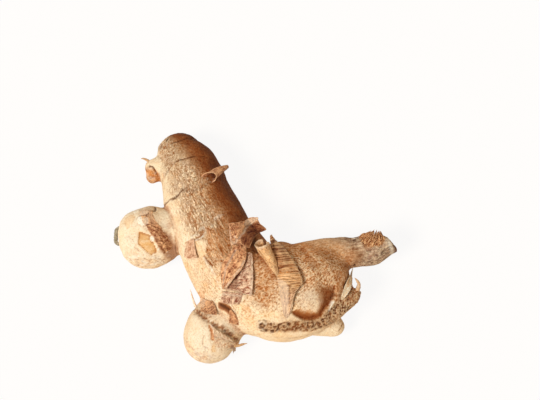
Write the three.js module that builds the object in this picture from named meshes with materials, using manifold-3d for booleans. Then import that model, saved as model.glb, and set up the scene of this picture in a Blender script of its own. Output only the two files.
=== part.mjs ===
// Blue turmeric: one whole rhizome with its papery scale leaves and rootlets, lying on a surface.
// Millimetres, +Z up. The origin is under the middle of the rhizome, on the surface.
import * as THREE from 'three';
import { mergeVertices } from 'three/addons/utils/BufferGeometryUtils.js';
import Module from 'manifold-3d';

const wasm = await Module();
wasm.setup();

// Driving dimensions.
const RING_SIDES = 20; // facets round a thick finger
const RING_STEPS = 3; // rings between two stations of a finger
const CAP_RINGS = 3; // rings in the rounded end of a finger
const BUD_SIDES = 12; // facets round a small finger
const ROOT_SIDES = 6; // facets round a rootlet
const LEAF_THICKNESS = 0.6; // a papery scale leaf, made thick enough to be a solid
const LEAF_STEPS = 2; // grid steps between two given points of a leaf
const ROLL_START = THREE.MathUtils.degToRad(-70); // the rolled leaf's free edges, round its line
const ROLL_END = THREE.MathUtils.degToRad(190);
const ROLL_STEPS = 10;
const ABOVE_ALL = 100; // a height above the whole rhizome
const CUT_SIZE = 300; // the block that takes away all beyond a plane
const STUB_BREAK = [60.1, -1.2, 19.2]; // the old break at the end of the right stub
const STUB_BREAK_TURN = THREE.MathUtils.degToRad(28);
const STUB_BREAK_TILT = THREE.MathUtils.degToRad(-10);

// The fingers. A station is [x, y, z, half width, half height].
const UPPER_ARM = [
  [-34.5, 42.3, 13.0, 10.6, 11.2],
  [-31.2, 37.0, 13.8, 13.3, 13.4],
  [-28.5, 29.0, 14.8, 14.6, 15.0],
  [-26.0, 20.0, 15.5, 15.8, 15.8],
  [-21.5, 10.0, 16.0, 16.6, 16.4],
  [-16.5, -1.0, 16.5, 17.8, 16.9],
  [-10.5, -11.5, 17.0, 19.4, 17.2],
  [-4.0, -20.0, 17.5, 19.6, 17.6],
];
const MAIN_LOBE = [
  [-6.0, -18.0, 17.0, 18.0, 17.2],
  [2.0, -22.4, 17.8, 20.6, 18.2],
  [11.0, -22.8, 18.0, 22.4, 18.6],
  [19.0, -21.6, 17.6, 21.4, 18.0],
  [24.5, -19.5, 17.2, 18.2, 16.8],
];
const RIGHT_STUB = [
  [20.0, -14.0, 17.5, 14.0, 14.0],
  [28.0, -9.5, 18.0, 11.0, 12.0],
  [35.0, -6.4, 18.4, 8.0, 9.4],
  [43.0, -5.2, 18.8, 6.4, 7.6],
  [51.5, -3.4, 19.0, 6.2, 7.0],
  [60.0, -1.0, 19.2, 5.4, 6.4],
];
const LEFT_BULB = [
  [-27.0, 9.0, 15.0, 10.5, 11.0],
  [-36.0, 7.4, 13.5, 9.4, 10.4],
  [-43.0, 4.6, 12.6, 12.2, 12.2],
  [-49.2, 3.0, 12.4, 12.6, 12.6],
];
const LOWER_BULB = [
  [-9.0, -22.0, 15.5, 12.5, 12.5],
  [-14.6, -30.5, 13.2, 11.0, 11.2],
  [-18.0, -38.0, 12.0, 12.6, 12.2],
  [-20.0, -41.5, 12.0, 11.8, 12.0],
];
const LEFT_STUB = [
  [-33.0, 36.0, 13.5, 9.0, 9.0],
  [-41.0, 37.0, 13.5, 6.4, 6.4],
  [-47.5, 37.2, 13.5, 3.8, 4.0],
];
const ROUND_BUD = [
  [-43.0, 34.0, 12.5, 2.6, 2.6],
  [-47.5, 32.6, 12.0, 3.3, 3.3],
];
const HEEL = [
  [20.0, -30.0, 13.0, 9.5, 10.0],
  [28.0, -34.0, 11.0, 7.5, 8.0],
  [33.5, -36.0, 10.0, 5.0, 5.5],
];
const TOP_BULGE = [
  [23.5, -14.0, 24.0, 10.0, 9.5],
  [21.5, -22.0, 26.5, 9.0, 9.4],
  [20.5, -28.0, 26.5, 8.0, 8.6],
];
const ROOT_SCAR = [
  [1.5, -39.6, 27.0, 1.4, 1.4],
  [6.8, -41.3, 25.4, 2.2, 2.4],
  [12.0, -42.4, 24.2, 2.6, 2.8],
  [17.0, -42.3, 23.4, 2.8, 3.0],
  [21.5, -41.0, 23.2, 2.8, 3.2],
  [26.0, -39.0, 23.0, 3.0, 3.4],
  [30.5, -36.2, 22.2, 3.0, 3.6],
  [35.0, -32.6, 21.2, 3.2, 3.8],
  [39.5, -28.6, 20.6, 3.2, 4.0],
  [42.8, -25.0, 20.0, 2.8, 3.8],
];

// The scale leaves. A row runs across the leaf, and a point is [x, y, height over the rhizome].
const SQUARE_SCALE = [
  [[-11.7, 4.4, 1.0], [-5.8, 7.1, 1.6], [0.3, 8.4, 1.4]],
  [[-11.9, -1.5, 1.6], [-4.4, -0.5, 3.4], [4.7, 3.3, 1.2]],
  [[-10.7, -6.8, 2.6], [-7.2, -7.8, 3.4], [-3.6, -9.0, 3.8]],
];
const LONG_SCALE = [
  [[-9.8, -8.2, 0.9], [-6.8, -8.6, 1.0], [-4.3, -9.8, 1.2]],
  [[-12.8, -12.1, 0.9], [-8.9, -12.7, 1.8], [-4.4, -14.8, 2.8]],
  [[-15.3, -16.6, 0.9], [-11.4, -17.3, 2.2], [-6.9, -17.7, 3.2]],
  [[-15.4, -21.3, 0.9], [-13.0, -21.6, 2.2], [-10.3, -21.4, 3.4]],
  [[-15.2, -25.4, 1.2], [-14.4, -25.5, 2.2], [-13.4, -25.2, 3.2]],
];
const UNDER_SCALE = [
  [[-4.4, -11.8, 0.9], [-3.0, -11.6, 0.9], [-1.7, -12.0, 0.9]],
  [[-5.9, -16.9, 0.9], [-3.8, -16.8, 1.0], [-1.6, -17.3, 1.2]],
  [[-9.3, -21.1, 1.1], [-5.4, -22.1, 1.4], [-1.6, -23.2, 1.5]],
  [[-12.7, -25.0, 1.7], [-7.1, -26.8, 2.4], [-2.0, -28.4, 2.2]],
];
const FOLD_SCALE = [
  [[-13.9, -26.6, 0.8], [-10.2, -27.6, 0.8], [-5.8, -28.6, 0.8]],
  [[-14.8, -28.3, 0.9], [-10.8, -29.6, 1.0], [-6.3, -30.7, 0.9]],
  [[-15.0, -30.1, 1.6], [-11.0, -31.6, 2.0], [-7.1, -31.8, 1.0]],
];
const TONGUE_TAB = [
  [[-11.4, -33.6, 1.2], [-10.6, -33.7, 1.2], [-9.6, -34.2, 1.2]],
  [[-11.5, -35.8, 1.3], [-9.8, -36.2, 1.5], [-8.1, -36.8, 1.4]],
  [[-11.6, -38.0, 1.6], [-9.7, -38.4, 2.0], [-7.5, -38.8, 1.9]],
];
const RIBBED_SHEATH = [
  [[6.2, -1.6, 1.2], [7.0, -1.2, 1.2], [7.8, -1.6, 1.2]],
  [[7.4, -5.0, 1.6], [9.2, -4.2, 2.0], [11.4, -4.6, 1.6]],
  [[8.7, -10.6, 1.4], [11.6, -10.4, 2.4], [14.8, -10.5, 1.4]],
  [[9.9, -16.2, 1.2], [13.6, -16.2, 2.4], [17.5, -15.8, 1.4]],
  [[10.9, -21.6, 1.0], [15.2, -21.2, 2.6], [20.0, -21.4, 2.0]],
  [[10.2, -25.0, 1.0], [14.6, -25.0, 2.4], [19.5, -25.0, 2.4]],
  [[10.2, -28.4, 1.0], [13.4, -28.6, 2.2], [17.0, -28.2, 2.4]],
  [[10.6, -32.6, 0.9], [13.0, -32.8, 1.8], [15.6, -32.2, 1.8]],
  [[11.6, -36.2, 0.8], [13.2, -36.5, 1.0], [14.8, -35.8, 0.9]],
];
const LEFT_FLAP = [
  [[-30.9, -4.4, 1.5], [-29.1, -3.3, 1.2], [-27.3, -3.0, 1.0]],
  [[-31.6, -6.4, 1.7], [-29.1, -7.0, 1.3], [-26.4, -7.3, 1.2]],
  [[-31.2, -8.6, 1.8], [-28.5, -10.2, 1.5], [-25.5, -10.6, 1.8]],
];
const NECK_FLAP = [
  [[-23.2, -27.3, 1.8], [-21.4, -26.8, 1.7], [-18.9, -28.2, 1.4]],
  [[-23.6, -29.4, 1.8], [-20.7, -30.2, 1.2], [-17.6, -31.2, 1.2]],
  [[-23.2, -31.6, 1.6], [-20.2, -33.3, 1.4], [-16.7, -34.3, 1.8]],
];
const BULB_COLLAR = [
  [[-48.6, 13.2, 1.6], [-45.0, 12.4, 1.4]],
  [[-50.2, 8.7, 1.2], [-46.3, 8.4, 1.0]],
  [[-49.1, 4.0, 1.6], [-43.9, 3.6, 1.0]],
  [[-46.4, 0.0, 1.8], [-41.5, -0.6, 1.1]],
  [[-43.7, -3.6, 2.0], [-39.4, -3.8, 1.4]],
  [[-41.6, -5.6, 2.0], [-38.8, -5.8, 1.8]],
];
const BULB_SHEATH = [
  [[-18.2, -40.3, 0.9], [-16.2, -41.0, 0.9], [-14.2, -41.6, 1.1]],
  [[-17.4, -43.6, 1.0], [-13.8, -43.8, 1.6], [-10.2, -43.8, 1.4]],
  [[-16.6, -47.3, 1.4], [-12.2, -46.6, 2.4], [-8.4, -45.0, 2.0]],
];
const PALE_STRIP = [
  [[41.4, -15.0, 1.2], [42.4, -15.0, 1.2]],
  [[39.3, -20.2, 1.6], [41.6, -19.4, 2.2]],
  [[37.7, -24.3, 1.4], [40.6, -23.4, 2.2]],
  [[36.7, -26.6, 1.3], [38.2, -26.2, 1.8]],
];
const TORN_TUFT = [
  [[48.6, 3.7, 1.4], [51.6, 4.9, 1.8], [53.1, 2.8, 1.4]],
  [[46.7, 0.8, 1.0], [50.0, 0.9, 1.2], [53.7, 0.4, 1.0]],
  [[46.2, -2.1, 0.9], [49.9, -2.5, 0.9], [54.3, -2.3, 0.9]],
];
const DARK_CURL = [
  [[-19.5, 29.8, 1.4], [-16.1, 32.4, 2.0], [-12.9, 33.4, 1.4]],
  [[-22.0, 26.9, 1.6], [-18.4, 28.4, 3.0], [-14.2, 30.5, 2.6]],
  [[-22.8, 23.6, 1.0], [-19.5, 24.7, 1.4], [-17.0, 26.7, 1.4]],
];
// A curled leaf is rolled round a line. A station is [x, y, z, radius of the roll].
const CURLED_SCALE = [
  [3.0, -4.8, 31.6, 2.1],
  [4.8, -8.6, 34.0, 1.8],
  [6.6, -14.2, 37.0, 1.3],
  [8.3, -19.6, 37.9, 0.9],
];
// The rootlets. A station is [x, y, z, half width, half height].
const HAIR_ROOT = [
  [-28.8, -22.6, 17.0, 0.3, 0.3],
  [-27.9, -25.6, 14.6, 0.35, 0.35],
  [-27.2, -28.6, 14.0, 0.4, 0.4],
];
const SCAR_ROOTLET = [
  [42.8, -18.9, 21.8, 0.4, 0.4],
  [44.2, -20.2, 21.3, 0.5, 0.5],
  [45.2, -21.2, 20.9, 0.6, 0.6],
];
const GREY_ROOT = [
  [-62.7, 7.6, 12.6, 0.8, 0.9],
  [-63.0, 4.4, 12.3, 0.9, 1.0],
  [-62.9, 1.6, 12.0, 0.8, 0.9],
];
const BULB_ROOTLET = [
  [-7.7, -46.4, 14.6, 0.5, 0.5],
  [-5.4, -45.9, 14.8, 0.4, 0.4],
  [-3.2, -45.5, 15.0, 0.3, 0.3],
];
const STUB_ROOTLET = [
  [-50.0, 40.8, 14.2, 0.5, 0.5],
  [-51.2, 41.2, 14.3, 0.4, 0.4],
  [-52.2, 41.0, 14.4, 0.3, 0.3],
];

function solid(geometry) {
  const bare = geometry.clone();
  bare.deleteAttribute('normal');
  bare.deleteAttribute('uv');
  const merged = mergeVertices(bare);
  return new wasm.Manifold(new wasm.Mesh({
    numProp: 3,
    vertProperties: new Float32Array(merged.attributes.position.array),
    triVerts: new Uint32Array(merged.index.array),
  }));
}

function surfaceOf(body) {
  const mesh = body.getMesh();
  const geometry = new THREE.BufferGeometry();
  geometry.setAttribute('position', new THREE.BufferAttribute(mesh.vertProperties, 3));
  geometry.setIndex(new THREE.BufferAttribute(mesh.triVerts, 1));
  geometry.computeVertexNormals();
  return geometry;
}

function indexed(points, triangles) {
  const geometry = new THREE.BufferGeometry().setFromPoints(points);
  geometry.setIndex(triangles);
  geometry.computeVertexNormals();
  return geometry;
}

// A finger: elliptical rings along a smooth centre line, closed by a rounded cap at each end.
function limb(stations, sides = RING_SIDES) {
  const line = new THREE.CatmullRomCurve3(stations.map(([x, y, z]) => new THREE.Vector3(x, y, z)));
  const size = new THREE.CatmullRomCurve3(stations.map(([, , , w, h]) => new THREE.Vector3(w, h, 0)));
  const points = [];
  const ring = (centre, along, wide, high) => {
    const side = new THREE.Vector3().crossVectors(along, new THREE.Vector3(0, 0, 1)).normalize();
    const up = new THREE.Vector3().crossVectors(side, along);
    for (let k = 0; k < sides; k += 1) {
      const turn = (2 * Math.PI * k) / sides;
      const point = centre.clone();
      point.addScaledVector(side, wide * Math.cos(turn));
      point.addScaledVector(up, high * Math.sin(turn));
      points.push(point);
    }
  };
  const cap = (t, way) => {
    const along = line.getTangent(t);
    const { x: wide, y: high } = size.getPoint(t);
    const reach = (wide + high) / 2;
    const rings = Array.from({ length: CAP_RINGS }, (_, k) => (k + 1) / (CAP_RINGS + 1));
    const shrunk = (part) => {
      const angle = (part * Math.PI) / 2;
      const centre = line.getPoint(t).addScaledVector(along, way * reach * Math.sin(angle));
      ring(centre, along, wide * Math.cos(angle), high * Math.cos(angle));
    };
    const tip = line.getPoint(t).addScaledVector(along, way * reach);
    if (way < 0) {
      points.push(tip);
      rings.reverse().forEach(shrunk);
    } else {
      rings.forEach(shrunk);
      points.push(tip);
    }
  };
  const steps = RING_STEPS * (stations.length - 1);
  cap(0, -1);
  for (let i = 0; i <= steps; i += 1) {
    const { x: wide, y: high } = size.getPoint(i / steps);
    ring(line.getPoint(i / steps), line.getTangent(i / steps), wide, high);
  }
  cap(1, 1);

  const triangles = [];
  const last = points.length - 1;
  const rings = (last - 1) / sides;
  for (let k = 0; k < sides; k += 1) {
    const next = (k + 1) % sides;
    triangles.push(0, 1 + k, 1 + next);
    triangles.push(last, last - sides + next, last - sides + k);
    for (let i = 0; i < rings - 1; i += 1) {
      const here = 1 + i * sides;
      const beyond = here + sides;
      triangles.push(here + k, beyond + k, here + next);
      triangles.push(here + next, beyond + k, beyond + next);
    }
  }
  return solid(indexed(points, triangles));
}

// Everything beyond a plane through a point, which faces along x once turned and tilted.
function beyond([x, y, z], turn, tilt) {
  const geometry = new THREE.BoxGeometry(CUT_SIZE, CUT_SIZE, CUT_SIZE);
  geometry.translate(CUT_SIZE / 2, 0, 0);
  geometry.rotateY(tilt);
  geometry.rotateZ(turn);
  geometry.translate(x, y, z);
  return solid(geometry);
}

// The rhizome is one piece: fingers, bulbs, stubs and scar grown together, with flat resting patches.
function makeRhizome() {
  let body = limb(UPPER_ARM);
  [MAIN_LOBE, RIGHT_STUB, LEFT_BULB, LOWER_BULB, TOP_BULGE].forEach((finger) => {
    body = body.add(limb(finger));
  });
  [LEFT_STUB, ROUND_BUD, HEEL, ROOT_SCAR].forEach((finger) => {
    body = body.add(limb(finger, BUD_SIDES));
  });
  const brokenOff = beyond(STUB_BREAK, STUB_BREAK_TURN, STUB_BREAK_TILT);
  const underSurface = beyond([0, 0, 0], 0, Math.PI / 2);
  return surfaceOf(body.subtract(brokenOff).subtract(underSurface));
}

// A thin leaf: the grid of points is its middle surface, and each face lies half a thickness away.
function leafGeometry(grid, thickness = LEAF_THICKNESS) {
  const rows = grid.length;
  const columns = grid[0].length;
  const normalAt = (i, j) => {
    const down = grid[Math.min(i + 1, rows - 1)][j].clone().sub(grid[Math.max(i - 1, 0)][j]);
    const over = grid[i][Math.min(j + 1, columns - 1)].clone().sub(grid[i][Math.max(j - 1, 0)]);
    return down.cross(over).normalize();
  };
  const faceAt = (offset) => grid.flatMap((row, i) => (
    row.map((point, j) => point.clone().addScaledVector(normalAt(i, j), offset))
  ));
  const points = [...faceAt(thickness / 2), ...faceAt(-thickness / 2)];
  const under = rows * columns;
  const at = (i, j) => i * columns + j;
  const triangles = [];
  for (let i = 0; i < rows - 1; i += 1) {
    for (let j = 0; j < columns - 1; j += 1) {
      const [a, b, c, d] = [at(i, j), at(i + 1, j), at(i, j + 1), at(i + 1, j + 1)];
      triangles.push(a, b, c, b, d, c);
      triangles.push(under + a, under + c, under + b, under + b, under + c, under + d);
    }
  }
  const rim = [];
  for (let i = 0; i < rows - 1; i += 1) rim.push(at(i, 0));
  for (let j = 0; j < columns - 1; j += 1) rim.push(at(rows - 1, j));
  for (let i = rows - 1; i > 0; i -= 1) rim.push(at(i, columns - 1));
  for (let j = columns - 1; j > 0; j -= 1) rim.push(at(0, j));
  rim.forEach((here, k) => {
    const next = rim[(k + 1) % rim.length];
    triangles.push(here, under + here, under + next);
    triangles.push(here, under + next, next);
  });
  return indexed(points, triangles);
}

function smooth(points, steps) {
  const line = new THREE.CatmullRomCurve3(points);
  const last = steps * (points.length - 1);
  return Array.from({ length: last + 1 }, (_, k) => line.getPoint(k / last));
}

// Height of the rhizome's top at a place, or of the leaf's free part where it reaches past the edge.
function topAt(x, y, least) {
  const ray = new THREE.Raycaster(new THREE.Vector3(x, y, ABOVE_ALL), new THREE.Vector3(0, 0, -1));
  const [hit] = ray.intersectObject(rhizome);
  return hit ? Math.max(hit.point.z, least) : least;
}

// A leaf that follows the rhizome under it, from rows of [x, y, height over the rhizome].
function drapedLeaf(rows, least) {
  const across = rows.map((row) => smooth(row.map((point) => new THREE.Vector3(...point)), LEAF_STEPS));
  const columns = across[0].map((_, j) => smooth(across.map((row) => row[j]), LEAF_STEPS));
  const grid = columns[0].map((_, i) => columns.map((column) => {
    const { x, y, z: lift } = column[i];
    return new THREE.Vector3(x, y, topAt(x, y, least) + lift);
  }));
  return leafGeometry(grid);
}

// A leaf rolled up round its own length, open along one side and at both ends.
function rolledLeaf(stations) {
  const line = new THREE.CatmullRomCurve3(stations.map(([x, y, z]) => new THREE.Vector3(x, y, z)));
  const size = new THREE.CatmullRomCurve3(stations.map(([, , , r]) => new THREE.Vector3(r, 0, 0)));
  const steps = 2 * (stations.length - 1);
  const grid = Array.from({ length: steps + 1 }, (_, i) => {
    const along = line.getTangent(i / steps);
    const side = new THREE.Vector3().crossVectors(along, new THREE.Vector3(0, 0, 1)).normalize();
    const up = new THREE.Vector3().crossVectors(side, along);
    return Array.from({ length: ROLL_STEPS + 1 }, (unused, k) => {
      const turn = THREE.MathUtils.lerp(ROLL_END, ROLL_START, k / ROLL_STEPS);
      const point = line.getPoint(i / steps);
      point.addScaledVector(side, size.getPoint(i / steps).x * Math.cos(turn));
      return point.addScaledVector(up, size.getPoint(i / steps).x * Math.sin(turn));
    });
  });
  return leafGeometry(grid);
}

const group = new THREE.Group();

function addPiece(name, geometry, color, roughness) {
  const material = new THREE.MeshStandardMaterial({ color, roughness, metalness: 0 });
  const mesh = new THREE.Mesh(geometry, material);
  mesh.name = name;
  group.add(mesh);
  return mesh;
}

const rhizome = addPiece('rhizome', makeRhizome(), 0xd3ac78, 0.75);

const RED_BROWN = 0x9a5f45;
const ORANGE_BROWN = 0xb5763f;
const PINK_BROWN = 0xc08e70;
const PALE = 0xf0dfb4;
const GREY_BROWN = 0x8f7a60;

// Free parts of a leaf that reach past the rhizome's edge stay at about the height given last.
[
  ['square_scale', SQUARE_SCALE, 27, RED_BROWN],
  ['long_scale', LONG_SCALE, 0, RED_BROWN],
  ['under_scale', UNDER_SCALE, 0, RED_BROWN],
  ['fold_scale', FOLD_SCALE, 0, PINK_BROWN],
  ['tongue_tab', TONGUE_TAB, 20, ORANGE_BROWN],
  ['ribbed_sheath', RIBBED_SHEATH, 29, ORANGE_BROWN],
  ['left_flap', LEFT_FLAP, 0, PINK_BROWN],
  ['neck_flap', NECK_FLAP, 18, PINK_BROWN],
  ['bulb_collar', BULB_COLLAR, 0, RED_BROWN],
  ['bulb_sheath', BULB_SHEATH, 16, PINK_BROWN],
  ['pale_strip', PALE_STRIP, 20, PALE],
  ['torn_tuft', TORN_TUFT, 24.5, ORANGE_BROWN],
  ['dark_curl', DARK_CURL, 24, RED_BROWN],
].forEach(([name, rows, least, color]) => addPiece(name, drapedLeaf(rows, least), color, 0.7));
addPiece('curled_scale', rolledLeaf(CURLED_SCALE), ORANGE_BROWN, 0.7);

[
  ['hair_root', HAIR_ROOT, PALE],
  ['scar_rootlet', SCAR_ROOTLET, GREY_BROWN],
  ['grey_root', GREY_ROOT, GREY_BROWN],
  ['bulb_rootlet', BULB_ROOTLET, GREY_BROWN],
  ['stub_rootlet', STUB_ROOTLET, GREY_BROWN],
].forEach(([name, stations, color]) => addPiece(name, surfaceOf(limb(stations, ROOT_SIDES)), color, 0.85));

// The origin goes under the middle of the whole.
const middle = new THREE.Box3().setFromObject(group).getCenter(new THREE.Vector3());
group.children.forEach((mesh) => mesh.geometry.translate(-middle.x, -middle.y, 0));

export default group;
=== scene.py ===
# Blue turmeric: one whole rhizome with its papery scale leaves and rootlets, lying on a pale table.
import itertools
import math

import bpy
import numpy as np
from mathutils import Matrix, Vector
from mathutils.bvhtree import BVHTree


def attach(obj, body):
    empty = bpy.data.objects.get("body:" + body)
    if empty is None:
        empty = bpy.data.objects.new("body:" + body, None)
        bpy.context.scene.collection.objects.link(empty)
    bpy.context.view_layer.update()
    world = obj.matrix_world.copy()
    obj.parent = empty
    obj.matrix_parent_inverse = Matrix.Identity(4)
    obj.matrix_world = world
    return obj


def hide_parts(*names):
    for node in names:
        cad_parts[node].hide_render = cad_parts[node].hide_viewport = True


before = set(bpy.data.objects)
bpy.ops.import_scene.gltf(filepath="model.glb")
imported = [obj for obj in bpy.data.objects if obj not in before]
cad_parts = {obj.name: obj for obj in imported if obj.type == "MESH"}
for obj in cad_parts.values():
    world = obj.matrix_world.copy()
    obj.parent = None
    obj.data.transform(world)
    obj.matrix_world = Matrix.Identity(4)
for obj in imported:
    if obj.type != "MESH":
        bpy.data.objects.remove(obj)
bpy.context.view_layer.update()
scene = bpy.context.scene


# ---- Camera ----
# It looks down on the rhizome from in front, steeply, as over a kitchen table,
# so that the arm lies top left and the woody stub points right.
MM = 0.001
CAMERA_ABOVE = math.radians(70)
CAMERA_FAR = 574 * MM
camera_target = Vector((6.6, 21.2, 14)) * MM
camera_line = Vector((0, -math.cos(CAMERA_ABOVE), math.sin(CAMERA_ABOVE)))
camera = bpy.data.objects.new("camera", bpy.data.cameras.new("camera"))
camera.data.lens = 85
camera.data.clip_start = 0.02
camera.location = camera_target + camera_line * CAMERA_FAR
camera.rotation_euler = (math.pi / 2 - CAMERA_ABOVE, 0, 0)
scene.collection.objects.link(camera)
scene.camera = camera


# ---- Table and lamps ----
# A white table top under one broad soft lamp from the left and a pale room.
# The table keeps the rhizome's shadow and throws light back on its sides.
def node(tree, kind, sockets, **settings):
    """A new shader node. A socket takes a value, a node, or a node with the name of its output."""
    made = tree.nodes.new("ShaderNode" + kind)
    for name, value in settings.items():
        setattr(made, name, value)
    for name, value in sockets.items():
        if isinstance(value, bpy.types.Node):
            tree.links.new(value.outputs[0], made.inputs[name])
        elif isinstance(value, tuple) and isinstance(value[0], bpy.types.Node):
            tree.links.new(value[0].outputs[value[1]], made.inputs[name])
        else:
            made.inputs[name].default_value = value
    return made


def new_material(name):
    """A new material and its empty node tree."""
    material = bpy.data.materials.new(name)
    material.use_nodes = True
    material.node_tree.nodes.clear()
    return material, material.node_tree


def maths(tree, operation, a, b=0.0, clamp=False):
    """A sum or the like of two numbers or sockets."""
    return node(tree, "Math", {0: a, 1: b}, operation=operation, use_clamp=clamp)


def straight_view(tree):
    """1 where the camera looks straight at a thing, in a mirror or through glass, and 0 for its light."""
    seen = node(tree, "LightPath", {})
    mirrored = maths(tree, "MAXIMUM", (seen, "Is Camera Ray"), (seen, "Is Glossy Ray"))
    return maths(tree, "MAXIMUM", mirrored, (seen, "Is Transmission Ray"))


TABLE_HALF = 1.5
TABLE_BELOW = 0.2 * MM
TABLE_GLOW = 0.91  # how much of it is plain white to the camera; the rest is lit, and keeps the shadow
table_paint, tree = new_material("table_white")
paint = node(tree, "BsdfDiffuse", {"Color": (0.92, 0.82, 0.68, 1)})
glow = node(tree, "Emission", {"Color": (1, 1, 1, 1), "Strength": 1.0})
share = maths(tree, "MULTIPLY", straight_view(tree), TABLE_GLOW)
mixed = node(tree, "MixShader", {0: share, 1: paint, 2: glow})
node(tree, "OutputMaterial", {"Surface": mixed})
table_mesh = bpy.data.meshes.new("table")
table_mesh.from_pydata(
    [(x * TABLE_HALF, y * TABLE_HALF, -TABLE_BELOW) for x, y in ((-1, -1), (1, -1), (1, 1), (-1, 1))],
    [], [(0, 1, 2, 3)])
table_mesh.materials.append(table_paint)
table = bpy.data.objects.new("table", table_mesh)
scene.collection.objects.link(table)

LAMP_FROM = Vector((-0.47, -0.40, 0.79))
lamp = bpy.data.objects.new("window_lamp", bpy.data.lights.new("window_lamp", "SUN"))
lamp.data.energy = 2.7
lamp.data.angle = math.radians(18)
lamp.data.color = (1.0, 0.98, 0.95)
lamp.rotation_euler = LAMP_FROM.to_track_quat("Z", "Y").to_euler()
scene.collection.objects.link(lamp)

room = bpy.data.worlds.new("room")
room.use_nodes = True
room.node_tree.nodes.clear()
tree = room.node_tree
air = node(tree, "Background", {"Color": (1.0, 0.80, 0.60, 1), "Strength": 0.4})
white = node(tree, "Background", {"Color": (1, 1, 1, 1), "Strength": 1.0})
mixed = node(tree, "MixShader", {0: straight_view(tree), 1: air, 2: white})
node(tree, "OutputWorld", {"Surface": mixed})
scene.world = room
scene.view_settings.view_transform = "Standard"


# ---- Rhizome ----
# The fleshy body: an arm, a swollen main lobe, a woody stub, two round bulbs and small buds.
# One grown piece under a thin cork skin, ringed with leaf scars, wrinkled by drying.
def spline(a, b, c, d, t):
    """The place at share t from b to c, on a smooth line through a, b, c and d."""
    return 0.5 * (2 * b + (c - a) * t + (2 * a - 5 * b + 4 * c - d) * t**2 + (3 * b - a - 3 * c + d) * t**3)


def smooth_line(stations, step):
    """Points every step mm or so on a smooth line through the stations."""
    stations = np.array(stations, float)
    last = len(stations) - 1
    pieces = []
    for i in range(last):
        b, c = stations[i], stations[i + 1]
        count = max(1, math.ceil(np.linalg.norm((c - b)[:3]) / step))
        t = (np.arange(count) / count)[:, None]
        pieces.append(spline(stations[max(i - 1, 0)], b, c, stations[min(i + 2, last)], t))
    pieces.append(stations[-1:])
    return np.concatenate(pieces)


FINGER_STEP = 1.6  # mm between the points of a finger's middle line
SKIN_LINE_STEP = 1.2  # of a line that lies on the skin
OUTLINE_STEP = 1.0  # and of an outline drawn on it
FAR_AWAY = 1e9


def on_finger(points, stations):
    """Where points lie on a finger: mm along it, turn round it in degrees from its top, distance out
    over its own size, and the place along it, aside and up, for its grain."""
    line = smooth_line(stations, FINGER_STEP)
    centre, size = line[:, :3], line[:, 3]
    lengths = np.linalg.norm(np.diff(centre, axis=0), axis=1)
    start = np.concatenate([[0], np.cumsum(lengths)])
    near = np.full(len(points), FAR_AWAY)
    along, turn, out = np.zeros(len(points)), np.zeros(len(points)), np.zeros(len(points))
    place = np.zeros((len(points), 3))
    for i, length in enumerate(lengths):
        ahead = (centre[i + 1] - centre[i]) / length
        side = np.cross(ahead, (0, 0, 1))
        side /= np.linalg.norm(side)
        up = np.cross(side, ahead)
        raw = (points - centre[i]) @ ahead / length
        t = np.clip(raw, 0, 1)
        off = points - centre[i] - t[:, None] * ahead * length
        far = np.linalg.norm(off, axis=1)
        closer = far < near
        reach = t
        if i == 0:
            reach = np.minimum(raw, 1)
        elif i == len(lengths) - 1:
            reach = np.maximum(raw, 0)
        near = np.where(closer, far, near)
        along = np.where(closer, start[i] + reach * length, along)
        turn = np.where(closer, np.degrees(np.arctan2(off @ side, off @ up)), turn)
        out = np.where(closer, far / (size[i] + t * (size[i + 1] - size[i])), out)
        here = np.stack([along, off @ side, off @ up], 1)
        place = np.where(closer[:, None], here, place)
    return along, turn, out, place


GRAIN_CELLS = 256
SEED_APART = 31.7  # cells between the lumps of one seed and those of the next
LUMP_HEIGHT = 1.7  # brings the lumps up to about 1
grain_table = np.random.default_rng(11)
GRAIN_ORDER = grain_table.permutation(GRAIN_CELLS)
GRAIN_SLOPES = grain_table.normal(size=(GRAIN_CELLS, 3))
GRAIN_SLOPES /= np.linalg.norm(GRAIN_SLOPES, axis=1)[:, None]


def lumps(points, size, seed):
    """Smooth random heights from about -1 to 1, with lumps about size mm wide."""
    spot = points / size + SEED_APART * seed
    cell = np.floor(spot).astype(int)
    part = spot - cell
    ease = part**3 * (part * (part * 6 - 15) + 10)
    total = np.zeros(len(spot))
    for corner in itertools.product((0, 1), repeat=3):
        order = 0
        for axis in range(3):
            order = GRAIN_ORDER[(order + cell[:, axis] + corner[axis]) % GRAIN_CELLS]
        weight = np.prod(np.where(corner, ease, 1 - ease), axis=1)
        total += weight * ((part - corner) * GRAIN_SLOPES[order]).sum(1)
    return total * LUMP_HEIGHT


def rough(points, size, seed, octaves=3):
    """Lumps with smaller lumps on them."""
    return sum(lumps(points, size / 2**k, seed + k) / 2**k for k in range(octaves)) / 1.5


def rise(value, low, high):
    """0 below low, 1 above high, and smooth between."""
    t = np.clip((value - low) / (high - low), 0, 1)
    return t * t * (3 - 2 * t)


def hump(value, width):
    """1 at 0, and close to 0 beyond width on both sides."""
    return np.exp(-(value / width) ** 2)


def to_line(points, normals, line):
    """Distance of points from a line over the skin, mm to its left, and mm along it."""
    line = smooth_line(line, SKIN_LINE_STEP)
    near = np.full(len(points), FAR_AWAY)
    side, along, start = np.zeros(len(points)), np.zeros(len(points)), 0.0
    for a, b in zip(line[:-1], line[1:]):
        length = np.linalg.norm(b - a)
        ahead = (b - a) / length
        t = np.clip((points - a) @ ahead, 0, length)
        off = points - a - t[:, None] * ahead
        far = np.linalg.norm(off, axis=1)
        closer = far < near
        near = np.where(closer, far, near)
        left = (np.cross(normals, ahead) * off).sum(1)
        side = np.where(closer, left, side)
        along = np.where(closer, start + t, along)
        start += length
    return near, side, along


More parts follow.
